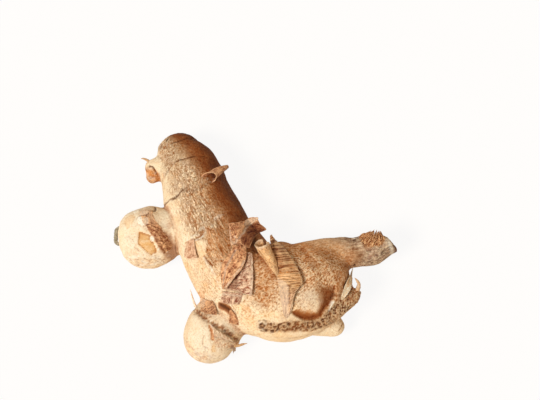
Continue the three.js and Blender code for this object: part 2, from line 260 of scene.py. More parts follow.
def from_above(points, line):
    """Distance of points from a line in plan, and which of them lie inside it when it is closed."""
    far = np.full(len(points), FAR_AWAY)
    inside = np.zeros(len(points), bool)
    for a, b in zip(line[:-1], line[1:]):
        ahead = b - a
        t = np.clip((points - a) @ ahead / (ahead @ ahead), 0, 1)
        far = np.minimum(far, np.linalg.norm(points - a - t[:, None] * ahead, axis=1))
        beside = a[0] + (points[:, 1] - a[1]) * ahead[0] / (ahead[1] + 1e-12)
        inside ^= ((a[1] > points[:, 1]) != (b[1] > points[:, 1])) & (points[:, 0] < beside)
    return far, inside


PATCH_MARGIN = 3  # mm round an outline that its torn border may reach


def patch(outline, soft, ragged, seed):
    """1 inside an outline drawn on top of the skin, seen from above, and 0 outside, with a torn border."""
    line = smooth_line([*outline, outline[0]], OUTLINE_STEP)
    middle, reach = (line.max(0) + line.min(0)) / 2, np.ptp(line, axis=0) / 2 + PATCH_MARGIN
    near = (np.abs(P[:, :2] - middle) < reach).all(1) & (N[:, 2] > -0.1)
    far, inside = from_above(P[near, :2], line)
    share = np.zeros(len(P))
    share[near] = rise(np.where(inside, far, -far) + ragged * rough(P[near], 2.2, seed), -soft, soft)
    return share


def coordinates(mesh):
    """A mesh's vertices and their normals, in mm."""
    co, no = np.empty(len(mesh.vertices) * 3, np.float32), np.empty(len(mesh.vertices) * 3, np.float32)
    mesh.vertices.foreach_get("co", co)
    mesh.vertex_normals.foreach_get("vector", no)
    return co.reshape(-1, 3).astype(float) / MM, no.reshape(-1, 3).astype(float)


def set_mask(mesh, name, values):
    """Keeps one number a vertex under a name, for the mesh's material."""
    mesh.attributes.new(name, "FLOAT", "POINT").data.foreach_set("value", values.astype(np.float32))


def set_place(mesh, name, places):
    """Keeps one place a vertex under a name, for the mesh's material."""
    kept = mesh.attributes.new(name, "FLOAT_VECTOR", "POINT")
    kept.data.foreach_set("vector", places.astype(np.float32).ravel())


# Fingers: x, y, z and half width at each station.
ARM = [(-33.9, 42.5, 13, 10.8), (-30.6, 37.2, 13.8, 13.3), (-27.9, 29.2, 14.8, 14.8),
       (-25.4, 20.2, 15.5, 15.8), (-20.9, 10.2, 16, 16.5), (-15.9, -0.8, 16.5, 17.3), (-9.9, -11.3, 17, 18.3),
       (-3.4, -19.8, 17.5, 18.6)]
LOBE = [(-5.4, -17.8, 17, 17.6), (2.6, -22.2, 17.8, 19.4), (11.6, -22.6, 18, 20.5), (19.6, -21.4, 17.6, 19.7),
        (25.1, -19.3, 17.2, 17.5)]
STUB = [(28.6, -9.3, 18, 11.5), (35.6, -6.2, 18.4, 8.7), (43.6, -5, 18.8, 7), (52.1, -3.2, 19, 6.6),
        (60.6, -0.8, 19.2, 5.9)]
LEFT_BULB = [(-33, 8, 14, 9.8), (-35.4, 7.6, 13.5, 9.9), (-42.4, 4.8, 12.6, 12.2), (-48.6, 3.2, 12.4, 12.6)]
LOWER_BULB = [(-12, -27, 14.5, 11.4), (-14, -30.3, 13.2, 11.1), (-17.4, -37.8, 12, 12.4),
              (-19.4, -41.3, 12, 11.9)]
LEFT_STUB = [(-32.4, 36.2, 13.5, 9), (-40.4, 37.2, 13.5, 6.4), (-46.9, 37.4, 13.5, 3.9)]
HEEL = [(20.6, -29.8, 13, 9.7), (28.6, -33.8, 11, 7.7), (34.1, -35.8, 10, 5.2)]
FINGERS = [ARM, LOBE, STUB, LEFT_BULB, LOWER_BULB, LEFT_STUB, HEEL]

BLEND_VOXEL = 1.0  # the joints of the fingers are blended on this coarse skin
SKIN_VOXEL = 0.52  # the finished skin
FINGER_SHARPNESS = 7  # how sharply one finger's share of the skin gives way to the next one's
core = bpy.data.objects.new("turmeric_rhizome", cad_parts["rhizome"].data.copy())
scene.collection.objects.link(core)
for voxel, rounds in ((BLEND_VOXEL, 9), (SKIN_VOXEL, 4)):
    remesh = core.modifiers.new("voxels", "REMESH")
    remesh.mode = "VOXEL"
    remesh.voxel_size = voxel * MM
    soften = core.modifiers.new("soften", "SMOOTH")
    soften.iterations = rounds
skin = bpy.data.meshes.new_from_object(core.evaluated_get(bpy.context.evaluated_depsgraph_get()))
core.modifiers.clear()
core.data = skin
skin.materials.clear()
P, N = coordinates(skin)
places = [on_finger(P, finger) for finger in FINGERS]
outness = np.stack([place[2] for place in places], 1)
belongs = outness.argmin(1)
shares = np.exp(-FINGER_SHARPNESS * (outness - outness.min(1)[:, None]))
shares /= shares.sum(1)[:, None]
arm, lobe, stub, left_bulb, lower_bulb, left_stub, heel = shares.T
arm_along, arm_turn, _, arm_place = places[FINGERS.index(ARM)]
stub_along, stub_turn, _, _ = places[FINGERS.index(STUB)]

height = np.zeros(len(P))  # how far each point of the skin moves outward, in mm
MASKS = ("dark", "pale", "grey", "rust", "gold", "brown", "window", "smooth")
masks = {name: np.zeros(len(P)) for name in MASKS}


def deepen(name, share):
    """Raises a mask to a share, where it isn't as high already."""
    masks[name] = np.maximum(masks[name], share)


# Slow unevenness of the whole body, and the fuller back and front of the left bulb.
height += 0.55 * lumps(P, 13, 1) + 0.3 * lumps(P, 5.5, 2)
height += left_bulb * (1.9 * rise(N @ np.array([-0.35, 0.85, 0.4]), 0.3, 0.95)
                       + 1.3 * rise(N @ np.array([0, -0.9, 0.35]), 0.35, 0.95))

# Worn and broken places of the skin, its stains, and its places of painted shade and painted highlight, drawn
# on it from above. Each has the mask it adds to and how much, how far it stands out in mm, how soft and how
# ragged its border is, and its outline.
PATCHES = [
    # The lower arm: bare golden flesh under the torn edge, with a clean cream strip beside it.
    ("gold", 0.7, -0.15, 0.4, 0.9, [
        (-20.5, 1), (-15, 1.5), (-11, 2.5), (-10.5, -8), (-14, -14), (-17, -14.5), (-19, -12),
        (-20.5, -8)]),
    ("brown", 0.45, 0, 1.2, 1.5, [
        (-17.5, 1.5), (-11.5, 0), (-10.5, -7), (-12, -12), (-15, -9), (-16.5, -3)]),
    ("smooth", 0.9, 0.1, 0.5, 0.6, [
        (-26.5, -3.5), (-23.5, -3.5), (-21, -4.7), (-20.5, -8), (-21.5, -11), (-24, -10)]),
    ("gold", 0.6, -0.3, 0.8, 0.8, [(-24.5, -23), (-22, -24), (-21.4, -27), (-23.5, -28.5), (-26, -25.5)]),
    # The left bulb: a golden window, a yellow spot, its rough reddish shoulder and flakes of old skin on it.
    ("rust", 0.35, 0.15, 0.7, 1.6, [
        (-51, 12.5), (-48, 14), (-45, 12.5), (-43, 7.5), (-40, 4.5), (-38, 1.5), (-35, -1.5), (-36.5, -5),
        (-40, -7), (-42, -5.5), (-44, -1), (-46.5, 2.5), (-48.5, 5.5), (-51, 9)]),
    # Painted shade on the bulb's lower right side, which faces away from the lamp.
    ("brown", 0.9, 0, 1.2, 1.6, [
        (-45, 2), (-42.5, 3), (-39.5, 3), (-36, 0), (-33.5, -3), (-36, -8), (-39.5, -6), (-42.4, -3)]),
    ("window", 1, -0.35, 0.15, 0.3, [
        (-51, 2.6), (-50.8, 2.6), (-48.1, 2), (-45.7, 1.1), (-45.5, 1), (-44.2, -1.8), (-43.1, -4.4),
        (-43.1, -4.8), (-45.2, -6.2), (-45.6, -6.2), (-47.8, -4.9), (-51, -2.4), (-51.2, -2)]),
    ("window", 0.6, -0.1, 0.4, 0.6, [(-57.3, 8.2), (-54.5, 10.5), (-51.8, 8.8), (-53.9, 6.2), (-56, 4.4)]),
    ("pale", 1, 0.3, 0.12, 0.8, [(-51.1, 8.3), (-48.1, 9), (-47.6, 6.9), (-48.9, 4.6), (-50.2, 5.4)]),
    ("pale", 1, 0.3, 0.12, 0.4, [(-45.7, 0.4), (-44.4, 0.1), (-44.2, -1.3), (-45.4, -1.2)]),
    ("pale", 1, 0.2, 0.12, 0.3, [(-42.9, -3.2), (-41.9, -3.4), (-42.1, -4.3), (-42.8, -4.1)]),
    ("pale", 0.8, 0.2, 0.2, 0.6, [(-53.6, 12.2), (-51.6, 13.2), (-51, 11.4), (-52.6, 10.8)]),
    ("rust", 0.3, 0, 1.5, 1.5, [
        (-57, -3), (-53, -4), (-50, -6.5), (-46, -7.5), (-42, -8.5), (-46, -11), (-52, -11), (-58, -8)]),
    # The lower bulb: a worn ochre slit, a yellow spot below it and a mauve tinge at its far side.
    ("gold", 0.9, -0.35, 0.15, 0.3, [
        (-19.9, -39), (-18.4, -39.5), (-17.6, -41.8), (-17, -45.4), (-18.5, -45.1), (-19, -42.5)]),
    ("window", 0.75, -0.1, 0.4, 0.4, [
        (-17.2, -45.9), (-16.2, -46.6), (-15.8, -48.8), (-17.3, -50), (-18.6, -49.3), (-18.1, -47.5)]),
    ("rust", 0.6, 0, 1.5, 1.8, [
        (-31, -41), (-28, -45.5), (-25.8, -48.5), (-21, -51), (-17, -53), (-24, -54), (-30, -49)]),
    ("smooth", 0.9, 0.15, 0.6, 0.6, [
        (-17.3, -29), (-15, -30.4), (-13.4, -32.8), (-11.3, -34.5), (-11, -37.5), (-14, -37.8),
        (-16.5, -36), (-16, -33.5)]),
    # The dark gaps under the lifted leaves are painted shade, and the darker skin beside them is painted
    # shadow of the leaves.
    ("dark", 0.75, -0.2, 0.9, 0.9, [
        (-2.8, -3.6), (0.6, -1.5), (1.4, -5), (1.9, -9), (-1.1, -9.3), (-2.8, -7)]),
    ("brown", 0.6, 0, 1.4, 1.2, [
        (-1.6, -6.3), (3.2, -9.3), (6.2, -15), (9.2, -19.8), (9.4, -23), (6.4, -21.4), (3.2, -16.5),
        (0.9, -14), (0.4, -20), (-0.6, -22), (-1.1, -14.3)]),
    ("gold", 0.85, 0, 2.0, 1.5, [
        (-0.2, -14.3), (3.6, -17.3), (7.5, -24.6), (9.1, -31.2), (4.9, -33.5), (0.6, -27.8)]),
    ("brown", 0.25, 0, 2.5, 2.0, [
        (-1, -12), (5, -16), (9, -24), (10, -31), (5, -34), (-3, -30), (-2, -20)]),
    ("dark", 0.85, 0, 0.5, 0.5, [
        (-13.6, -25.2), (-9.5, -21.6), (-6, -19.2), (-4.4, -22.5), (-3, -28.3), (-8.6, -26.4)]),
    ("brown", 1, 0, 0.3, 0.3, [
        (-15.6, -30), (-12.6, -31), (-9.6, -33.3), (-10.2, -35), (-13, -33.5), (-15.4, -32)]),
    ("dark", 0.8, -0.3, 0.3, 0.3, [
        (-15.1, -30.6), (-13, -31.6), (-10.4, -33.5), (-10.8, -34.2), (-13, -32.8), (-15, -31.3)]),
    # The main lobe: stains on its back and front, and the grey skin at the foot of the sheath.
    ("gold", 0.5, -0.2, 1.6, 1.2, [(-4, -31), (-1.5, -33.5), (0, -37.5), (-2, -40), (-5.5, -37.5)]),
    ("grey", 0.45, 0, 1.2, 1.2, [
        (11, -35.5), (13, -38), (16, -37.4), (19.3, -38.5), (20, -40.7), (15, -41), (11, -38.5)]),
    ("brown", 0.4, 0, 2.0, 2.0, [(-1, -9), (3, -11), (6.5, -15), (5, -18), (0.5, -17), (0, -13)]),
    # The shallow valley beside the sheath, darkened with painted shade, a painted highlight on the top of the
    # bulge, and the bruised wood under the tuft.
    ("brown", 0.5, -0.4, 1.2, 0.8, [
        (19.4, -5.9), (21.6, -5), (24.6, -11.4), (27.4, -15.6), (25.2, -17), (21.4, -12)]),
    ("pale", 0.18, 0, 1.4, 1.8, [
        (19.9, -27.9), (24.1, -26.9), (27.9, -29.9), (26.5, -33.8), (20.9, -34.8)]),
    ("brown", 0.6, -0.2, 0.8, 1.2, [(46, -1), (47.5, -5), (55, -3), (56, 1), (50, 3)]),
]
PATCH_SEED = 200
for number, (name, amount, lift, soft, ragged, outline) in enumerate(PATCHES, PATCH_SEED):
    part = patch(outline, soft, ragged, number)
    deepen(name, amount * part)
    height += lift * part

# Cracks, seams, folds and loose edges. Each has its mask and how much, how far out it stands in mm, its half
# width, how ragged it is, and its line. The ragged ones are broken up into flakes.
LINES = [
    ("brown", 1, -0.45, 0.45, 0.3, [
        (-26.8, -2.5, 29.5), (-27.3, -4, 28.8), (-26.2, -6.4, 29.1), (-25.3, -9.1, 29.1)]),
    ("brown", 0.9, -0.4, 0.4, 0.3, [
        (-21.7, -10.6, 31.1), (-20.8, -12, 31.3), (-19.5, -13.5, 31.6), (-18.2, -15, 31.9)]),
    ("pale", 0.8, 0.15, 0.35, 0.7, [
        (-21.6, -11.2, 31.1), (-20.6, -13.4, 31.2), (-18.8, -15.9, 31.5), (-17.3, -18.4, 31.6),
        (-16, -21.1, 31.6), (-15.1, -23.6, 31.4), (-14.2, -25.4, 31.2)]),
    ("pale", 0.8, 0.2, 0.35, 0.7, [
        (-21.4, 1.1, 32.5), (-21.4, -0.7, 32.5), (-22.2, -1.9, 32.1), (-24, -3, 31.1), (-26.7, -3, 29.7)]),
    ("gold", 0.9, -0.15, 0.35, 0.3, [
        (-43.2, 42.4, 18), (-41.7, 43.3, 20.5), (-40.3, 44.3, 21.6), (-38.4, 45.4, 22.5),
        (-35.7, 46.1, 23.1), (-33.5, 47.2, 22.8)]),
    ("dark", 0.8, -0.3, 0.3, 0.8, [
        (-43.4, 44.2, 17), (-41.8, 45, 19.8), (-40.4, 46.8, 20.4), (-38.7, 49.4, 20), (-37.6, 51, 18)]),
    ("dark", 0.7, -0.8, 0.4, 0.2, [
        (-48.2, 36.6, 16.5), (-46.7, 35.9, 17.2), (-45.3, 34.2, 16.5), (-44.5, 32.8, 15),
        (-43.7, 30.8, 12.7)]),
    ("pale", 0.9, 0.25, 0.22, 0.8, [
        (-46.5, 8.2, 24), (-44.6, 3.7, 24.8), (-42.4, 0.7, 24.1), (-40.7, -2, 22.5), (-39.1, -4.3, 19.7)]),
    ("brown", 0.6, -0.25, 0.3, 0.3, [
        (-53, -3, 22.6), (-50.2, -5.2, 21.6), (-47, -7.2, 20), (-43, -7.8, 16.8)]),
    ("pale", 0.8, 0.3, 0.2, 0.15, [
        (-54.8, -0.4, 22.4), (-52.2, -2.1, 23.1), (-49.9, -4, 22.3), (-47.2, -6.2, 20.4),
        (-43.6, -6.9, 18.1), (-39.9, -7.2, 13.2)]),
    ("pale", 0.8, 0.25, 0.15, 0.15, [
        (-55.4, 0.4, 22), (-54, -2, 22.4), (-52.6, -3.4, 22.3), (-51.5, -3.4, 22.5)]),
    ("dark", 0.7, -0.4, 0.4, 0.2, [
        (-44.8, 14.4, 18.3), (-44.1, 12.6, 21), (-44.2, 11.6, 22), (-45, 11.3, 22.4)]),
    ("pale", 1, 0.35, 0.25, 0.2, [
        (-18.8, -38.9, 24.1), (-17.7, -40.4, 23.9), (-16.9, -41.6, 23.7), (-16.7, -44, 23)]),
    ("brown", 0.35, -0.2, 0.25, 0.3, [
        (-21.6, -44, 23.2), (-22.3, -46.3, 22.3), (-21.7, -47.9, 21.3), (-20.1, -48.5, 21.2)]),
    ("pale", 0.7, 0.2, 0.2, 0.3, [(-17.9, -46, 22.7), (-19.2, -47.7, 21.9), (-20.8, -48.8, 21.2)]),
    ("dark", 0.75, -0.5, 0.5, 0.4, [
        (43.7, -11.2, 21.3), (42.6, -11.8, 17.4), (41.4, -15.5, 22), (39.8, -19.8, 26),
        (38.3, -22.9, 27.3)]),
    ("dark", 0.85, -0.6, 0.7, 0.4, [(34, -27.3, 29.4), (33.5, -28.8, 28.6)]),
    ("pale", 1, 0.2, 0.3, 0.1, [(33.7, -29.7, 27.6), (32.3, -32, 26.9), (30.9, -34.2, 25.5)]),
    ("pale", 0.8, 0.25, 0.35, 0.4, [(42.5, -0.6, 24.4), (44.2, -0.4, 24), (46, 0.2, 23.7)]),
    ("grey", 0.6, -0.3, 0.5, 0.4, [(37.1, -39, 12.9), (38.4, -36.4, 13), (40, -32.8, 9.7)]),
]
LINE_SEED = 240
FLAKE_SEED = 270
for number, (name, amount, lift, width, ragged, line) in enumerate(LINES):
    far = to_line(P, N, line)[0]
    part = rise(width - far + ragged * rough(P, 1.8, LINE_SEED + number), -0.25, 0.25)
    part *= 1 - min(ragged, 1) * rise(lumps(P, 3.2, FLAKE_SEED + number), -0.1, 0.4)
    deepen(name, amount * part)
    height += lift * part

# Leaf-scar rings of the arm: turn in degrees, mm along the arm, all the way round.
ARM_RINGS = [
    [(-180, -3), (-90, -1), (-16, -1.7), (-1, -2.2), (13, -3.5), (29, -4), (65, -6.4), (120, -6)],
    [(-180, -6), (-90, -3.5), (-16, -4.5), (13, -5.9), (51, -7.6), (80, -8.6), (130, -8)],
    [(-180, 11), (-90, 13), (-43, 11), (-34, 9.8), (-21, 9), (-5, 9.3), (9, 9.4), (18, 9.1), (35, 9.6),
     (44, 10.1), (60, 11), (110, 12)],
    [(-180, 20), (-110, 17), (-80, 16.5), (-49, 18.6), (-26, 22.6), (-6, 24.8), (10, 24.1), (23, 22.8),
     (29, 23.8), (38, 24.4), (52, 23.7), (72, 22.8), (120, 21)],
]
RING_SHOWN = [(-60, 10), (90, 95), (-55, 22), (17, 95)]  # where the line of each is still sharp, in turn
FLAKES_SHOWN = [(8, 40), (40, 80), (36, 75), (-60, 22)]  # and where it is a row of loose flakes
for number, (ring, shown, loose) in enumerate(zip(ARM_RINGS, RING_SHOWN, FLAKES_SHOWN)):
    turns, alongs = zip(*ring)
    across = arm_along - np.interp(arm_turn, turns, alongs, period=360)
    across = across + 0.3 * rough(P, 3.4, 20 + number) + 0.1 * lumps(P, 1.1, 25 + number)
    here = rise(arm, 0.3, 0.7)
    sharp = here * (0.15 + 0.85 * rise(arm_turn, shown[0] - 6, shown[0] + 6)
                    * rise(-arm_turn, -shown[1] - 6, -shown[1] + 6))
    height += here * 0.16 * rise(-across, -0.6, 0.6) * hump(across, 5) - 0.26 * sharp * hump(across, 0.42)
    broken = rise(rough(P, 5, 30 + number), -0.5, 0.2)
    deepen("dark", sharp * hump(across, 0.34) * (0.1 + 0.65 * broken))
    row = here * rise(arm_turn, loose[0] - 5, loose[0] + 5) * rise(-arm_turn, -loose[1] - 5, -loose[1] + 5)
    flakes = row * hump(across + 0.4, 1.3) * rise(lumps(P, 1.7, 35 + number), 0.0, 0.35)
    height += 0.25 * flakes
    deepen("rust", flakes)
    deepen("pale", 0.7 * flakes * rise(lumps(P, 0.9, 38 + number), 0.1, 0.4))
    deepen("dark", 0.5 * row * hump(across - 0.9, 0.45) * broken)

# Wrinkles of the drying skin, drawn out along each finger.
GRAIN_APART = 40  # keeps the fingers' grains from being alike
FAN_APART = 300
FAN_ROOT = (40.0, -7.5, 24.0)  # the lobe's wrinkles fan out from the root of the stub
grain = np.zeros((len(P), 3))
for number, place in enumerate(places):
    grain[belongs == number] = place[3][belongs == number] + GRAIN_APART * number
fan = P - FAN_ROOT
fan_far = np.hypot(fan[:, 0], fan[:, 1])
fan_turn = np.arctan2(fan[:, 1], -fan[:, 0])
fan_grain = np.stack([fan_far, fan_turn * 24, P[:, 2] * 0.6], 1)
on_arm = belongs == FINGERS.index(ARM)
on_lobe = (belongs == FINGERS.index(LOBE)) | (belongs == FINGERS.index(HEEL))
grain[on_lobe] = fan_grain[on_lobe] + FAN_APART
grain_squeezed = grain * np.array([0.24, 1, 1])
pebbled = np.interp(arm_along, [-40, 8, 20, 90], [-32, 6.4, 11.5, 29])  # round pebbles on the upper arm
grain_squeezed[on_arm, 0] = pebbled[on_arm]
wrinkle = 1 - 2.4 * np.abs(lumps(grain_squeezed, 2.0, 40))
wide_wrinkle = lumps(grain_squeezed, 3.4, 43)
under = rise(np.abs(arm_turn), 115, 165)
# The arm's sunny left side and the front of the lobe are kept calm, with the paler calm paint, and the front
# has fewer streaks: partly painted light, where the lamp falls full on them.
sunny = np.maximum(rise(arm_turn + 0.35 * arm_along, 42, 62), under) * arm
shady = rise(-arm_turn, 4, 24) * rise(arm_along, -6, -2) * arm * (1 - under)
front = rise(-P[:, 1], 30, 40) * (lobe + heel)
plump = np.clip(left_bulb + lower_bulb, 0, 1)
calm = np.clip(0.85 * sunny + 0.35 * shady + 0.85 * plump + 0.8 * front + 0.5 * lobe + 0.7 * stub
               + 0.8 * left_stub + masks.pop("smooth"), 0, 0.93)
patchy = rise(lumps(P, 9, 50), -0.6, 0.4)
wrinkled = (1 - calm) * (0.55 + 0.45 * patchy)
height += wrinkled * (0.16 * wrinkle + 0.14 * wide_wrinkle)
masks["wrinkled"] = wrinkled
# Painted shade: the arm's right flank and the lobe's back are golden-brown skin, deepened with painted gold,
# brown and dark toward the side away from the lamp.
back = rise(P[:, 1], -17, -5) * lobe
drift = 9 * lumps(P, 12, 51)
off_line = rise(np.hypot(arm_place[:, 1], arm_place[:, 2]), 1, 9)  # fades at the arm's round tip
arm_shade = rise(-arm_turn + drift, -8, 22) * arm * rise(-arm_along, -52, -40) * off_line * (1 - under)
lobe_gold = 0.15 + 0.7 * rise(P[:, 1] + drift * 0.4, -31, -22)
deepen("gold", np.clip(0.95 * arm_shade + 0.9 * back + lobe_gold * lobe, 0, 1))
# The brown and dark laid on the arm's flank here are painted shade, which fades again toward the underside.
low_side = -arm_turn + drift + 14 * rise(-arm_along, -22, -8)
flank = arm * off_line * (1 - rise(low_side, 80, 150))  # it lightens again toward the underside
deepen("dark", 0.55 * rise(low_side, 26, 72) * flank * rise(-arm_along, -48, -40))
lobe_brown = 0.4 * rise(P[:, 1] + drift * 0.4, -15, -4)
deepen("brown", np.clip(0.95 * rise(low_side, -1, 34) * flank + lobe_brown * lobe, 0, 1))
masks["streaked"] = np.clip(lobe + 0.5 * heel + 0.6 * shady + 0.25 * arm, 0, 1) * (1 - 0.85 * front)
BULGE = (24, -30)  # the lobe's bulge, which is smoother
masks["streaked"] *= 1 - 0.5 * hump(np.hypot(P[:, 0] - BULGE[0], P[:, 1] - BULGE[1]), 6)

# The old skin's torn edge across the lower arm, and fine cross wrinkles to its right.
TORN_EDGE = [(70, 45.4), (56, 43.9), (43, 43.9), (33, 45), (26, 45.8), (22, 44.1), (12, 43.6), (4, 45.6),
             (0, 46.1), (-5, 42.4), (-20, 41), (-42, 40.4), (-62, 41), (-80, 42)]
turns, alongs = zip(*TORN_EDGE[::-1])
across = arm_along - np.interp(arm_turn, turns, alongs) + 1.0 * rough(P, 2.4, 36)
here = rise(arm, 0.3, 0.6) * rise(arm_turn, -84, -50) * rise(-arm_turn, -62, -48)
height += 0.45 * here * rise(arm_turn, 0, 12) * rise(-across, -0.25, 0.25) * hump(across, 5)
height += 0.2 * here * rise(-across, -0.6, 0.6) * hump(across, 4)
fringe = here * hump(across + 0.7, 0.9) * rise(lumps(P, 2.2, 37), -0.2, 0.3)
deepen("pale", 0.5 * fringe * rise(arm_turn, -30, 0))
deepen("rust", 0.7 * fringe * rise(-arm_turn, -10, 20))
deepen("brown", 0.5 * here * hump(across - 0.6, 0.6) * rise(lumps(P, 3, 38), -0.4, 0.2))
cross_wrinkles = lumps(np.stack([arm_along * 1.2, np.radians(arm_turn) * 4, 0 * arm_along], 1), 1.5, 34)
right_band = here * rise(-arm_turn, 4, 18) * rise(arm_along, 31, 36) * rise(-arm_along, -49, -44)
height += 0.14 * right_band * cross_wrinkles
deepen("rust", 0.6 * right_band * rise(cross_wrinkles, 0.1, 0.5))

# The main lobe's hollow: along a steep rim from under the bulge and up its right side.
# Its floor is painted brown, dark and gold as painted shade.
HOLLOW_RIM = [(15.2, -35.2, 32.8), (16, -36.4, 32), (18, -37.6, 30.7), (20.6, -38.6, 29.1), (23.6, -38.5, 28),
              (26.6, -37.4, 27.2), (28.7, -35.7, 27.3), (30.9, -33.4, 27.2), (32.8, -31, 27.6),
              (34, -28.9, 28.3), (34.5, -26, 29.7), (35, -23.6, 30.4), (35.6, -20, 30.1)]
far, side, along = to_line(P, N, HOLLOW_RIM)
side = side + 0.35 * rough(P, 2.6, 52)
deep = np.interp(along, [0, 2.5, 8, 13, 16, 20, 25, 29, 32], [0, 1.4, 2.0, 1.8, 1.0, 1.5, 1.4, 0.9, 0])
reach = np.interp(along, [0, 3, 9, 13, 16, 20, 25, 32], [1.5, 2.2, 2.8, 2.4, 1.4, 2.6, 3.2, 3.0])
within = rise(side, -0.35, 0.35) * (far < 12)
height -= deep * within * hump(side, reach)
shade_reach = reach * np.interp(along, [13, 20], [1, 1.7])  # the painted shade spreads wider up the right side
hollow_shade = within * rise(-side, -2.1 * shade_reach, -0.7 * shade_reach) * rise(deep, 0.1, 1.0)
deepen("brown", 0.9 * hollow_shade)
deepen("dark", 0.15 * hollow_shade)
deepen("gold", within * rise(-side, -2.6 * reach, -0.8 * reach) * rise(deep, 0.1, 1.0))
SHEATH_RIDGE = [(43.5, -8.6, 25.3), (42, -11, 23), (39.6, -15.6, 26), (37.4, -20.5, 28.6), (36, -25, 29.3),
                (35.2, -27.6, 28.4)]
far = to_line(P, N, SHEATH_RIDGE)[0]
height += 0.8 * hump(far, 1.6)
deepen("grey", 0.9 * hump(far, 3.2))
deepen("brown", 0.45 * hump(far, 3.2))

# The scar where roots were cut away: a rough, pitted grey band along the front.
ROOT_SCAR = [(3, -40.3, 28), (7.5, -41.2, 28), (12.5, -41, 28.4), (17.6, -40.6, 28), (21.9, -40.4, 27.2),
             (26.2, -39.2, 26.6), (30.5, -37, 25.7), (34.8, -33.8, 25), (38.8, -30.8, 24.5), (41.8, -28, 24),
             (44.3, -25, 23)]
far, _, along = to_line(P, N, ROOT_SCAR)
scar_width = np.interp(along, [0, 10, 24, 34, 60], [1.9, 2.3, 2.9, 3.4, 3.7])
scar = rise(-far + 1.1 * rough(P, 3, 60), -scar_width - 0.9, -scar_width + 0.9)
crumbs = rough(P, 1.5, 61, 2)
height += scar * (0.6 * crumbs + 0.2)
pit_share = np.interp(along, [0, 4, 8, 14, 20, 24, 30, 34, 60],
                      [0.2, 0.25, 0.5, 0.7, 0.5, 0.25, 0.35, 0.65, 0.6])  # the higher, the fewer pits
pits = rise(rough(P * [1, 1, 0.8], 1.7, 64, 2) + 0.4 * lumps(P, 7, 65), pit_share, pit_share + 0.3) * scar
height -= 0.8 * pits
deepen("grey", scar)
masks["scar"] = scar
deepen("dark", 0.8 * pits)
SCAR_EYE = (3.4, -40.2, 28)  # the ring at its left end
scar_eye = np.abs(np.linalg.norm((P - SCAR_EYE) * [1, 1.2, 0.6], axis=1) - 1.7)
height += 0.25 * hump(scar_eye, 0.5)
deepen("pale", 0.4 * hump(scar_eye, 0.35) * rise(lumps(P, 1.5, 67), -0.3, 0.2))
deepen("dark", 0.7 * hump(scar_eye - 0.8, 0.35) * rise(lumps(P, 2, 66), -0.3, 0.2))

# The stub is woody: ribbed lengthwise, grey, and torn off with a dark rim at its end.
stub_spots = np.stack([stub_along * 0.16, np.radians(stub_turn) * 7, np.zeros(len(P))], 1)
woody = np.clip(stub * rise(stub_along, 2, 13), 0, 1)
height += woody * (0.06 * lumps(stub_spots, 1.3, 70) + 0.05 * lumps(stub_spots, 0.7, 71)
                   + 0.14 * rough(P, 2.2, 72))
masks["wood"] = woody
stub_end = stub_along - stub_along[stub > 0.5].max() + 0.4 * rough(P, 3, 73)
deepen("brown", woody * rise(stub_end, -1.6, -1.1))
deepen("dark", 0.8 * woody * hump(stub_end + 1.4, 0.6))
deepen("pale", 0.6 * woody * hump(stub_end + 3.0, 0.8) * rise(stub_turn, -40, 0))

# The bulbs' own skins: crackled like old paint on the left one's base, fibrous round the lower one's neck.
bulb_base = left_bulb * rise(-P[:, 1], 3.5, 7) + 0.6 * lower_bulb * rise(-P[:, 1], 44, 49)
crackle = hump(rough(P, 2.6, 92, 2), 0.1)
deepen("rust", bulb_base * (0.12 + 0.5 * crackle))
deepen("pale", 0.7 * bulb_base * rise(lumps(P, 2.2, 95), 0.05, 0.4))
height -= 0.14 * bulb_base * crackle
deepen("pale", 0.28 * plump * (1 - masks["rust"]) * (1 - masks["window"]) * (1 - masks["gold"]))
bulb_top = masks["rust"] * left_bulb
height += bulb_top * 0.24 * rough(P, 1.8, 94, 2)
NECK_CREASE = [(-26, -28.6, 10), (-25.4, -31.4, 17), (-23.9, -33.2, 21), (-21.7, -35.4, 23),
               (-19, -37.4, 23.9), (-16.4, -39.2, 23.9), (-13.9, -40.8, 23.3), (-10.9, -42.5, 21.3),
               (-8, -43.7, 17.4), (-6, -43, 10)]
far, side, along = to_line(P, N, NECK_CREASE)
height -= 0.6 * hump(far, 1.1)
fibres = lumps(np.stack([side * 2.2, along * 0.35, P[:, 2] * 0], 1), 1.5, 96)
near_neck = hump(side - 0.3, 1.8) * hump(far, 5)
crumbs = rough(P, 1.3, 97, 2)
masks["pale"] *= 1 - 0.9 * near_neck
deepen("window", 0.4 * plump * (1 - near_neck) * rise(lumps(P, 8, 103), -0.1, 0.5))
height += near_neck * (0.16 * fibres + 0.34 * crumbs)
deepen("grey", 0.5 * near_neck * rise(fibres + 0.5 * lumps(P, 3, 97), -0.5, 0.2))
deepen("scar", 0.85 * near_neck * rise(lumps(P, 4, 99), -0.5, 0.1))
deepen("brown", 0.9 * near_neck * rise(-crumbs, 0.05, 0.45))
deepen("dark", 0.5 * near_neck * rise(-crumbs, 0.4, 0.6))
deepen("pale", 0.8 * near_neck * rise(crumbs, 0.45, 0.65))

# The round bud beside the left stub is reddish and crackled.
BUD = np.array([-46.9, 32.8, 12.0])
bud = rise(-np.linalg.norm(P - BUD, axis=1), -6.2, -5.0)
deepen("gold", bud)
deepen("brown", bud * (0.25 + 0.5 * crackle))
deepen("pale", 0.25 * bud * rise(lumps(P, 1.9, 101), 0.0, 0.4))
stub_tip = rise(-P[:, 0], 47.5, 50.5) * rise(P[:, 1], 37, 39)
deepen("gold", stub_tip)

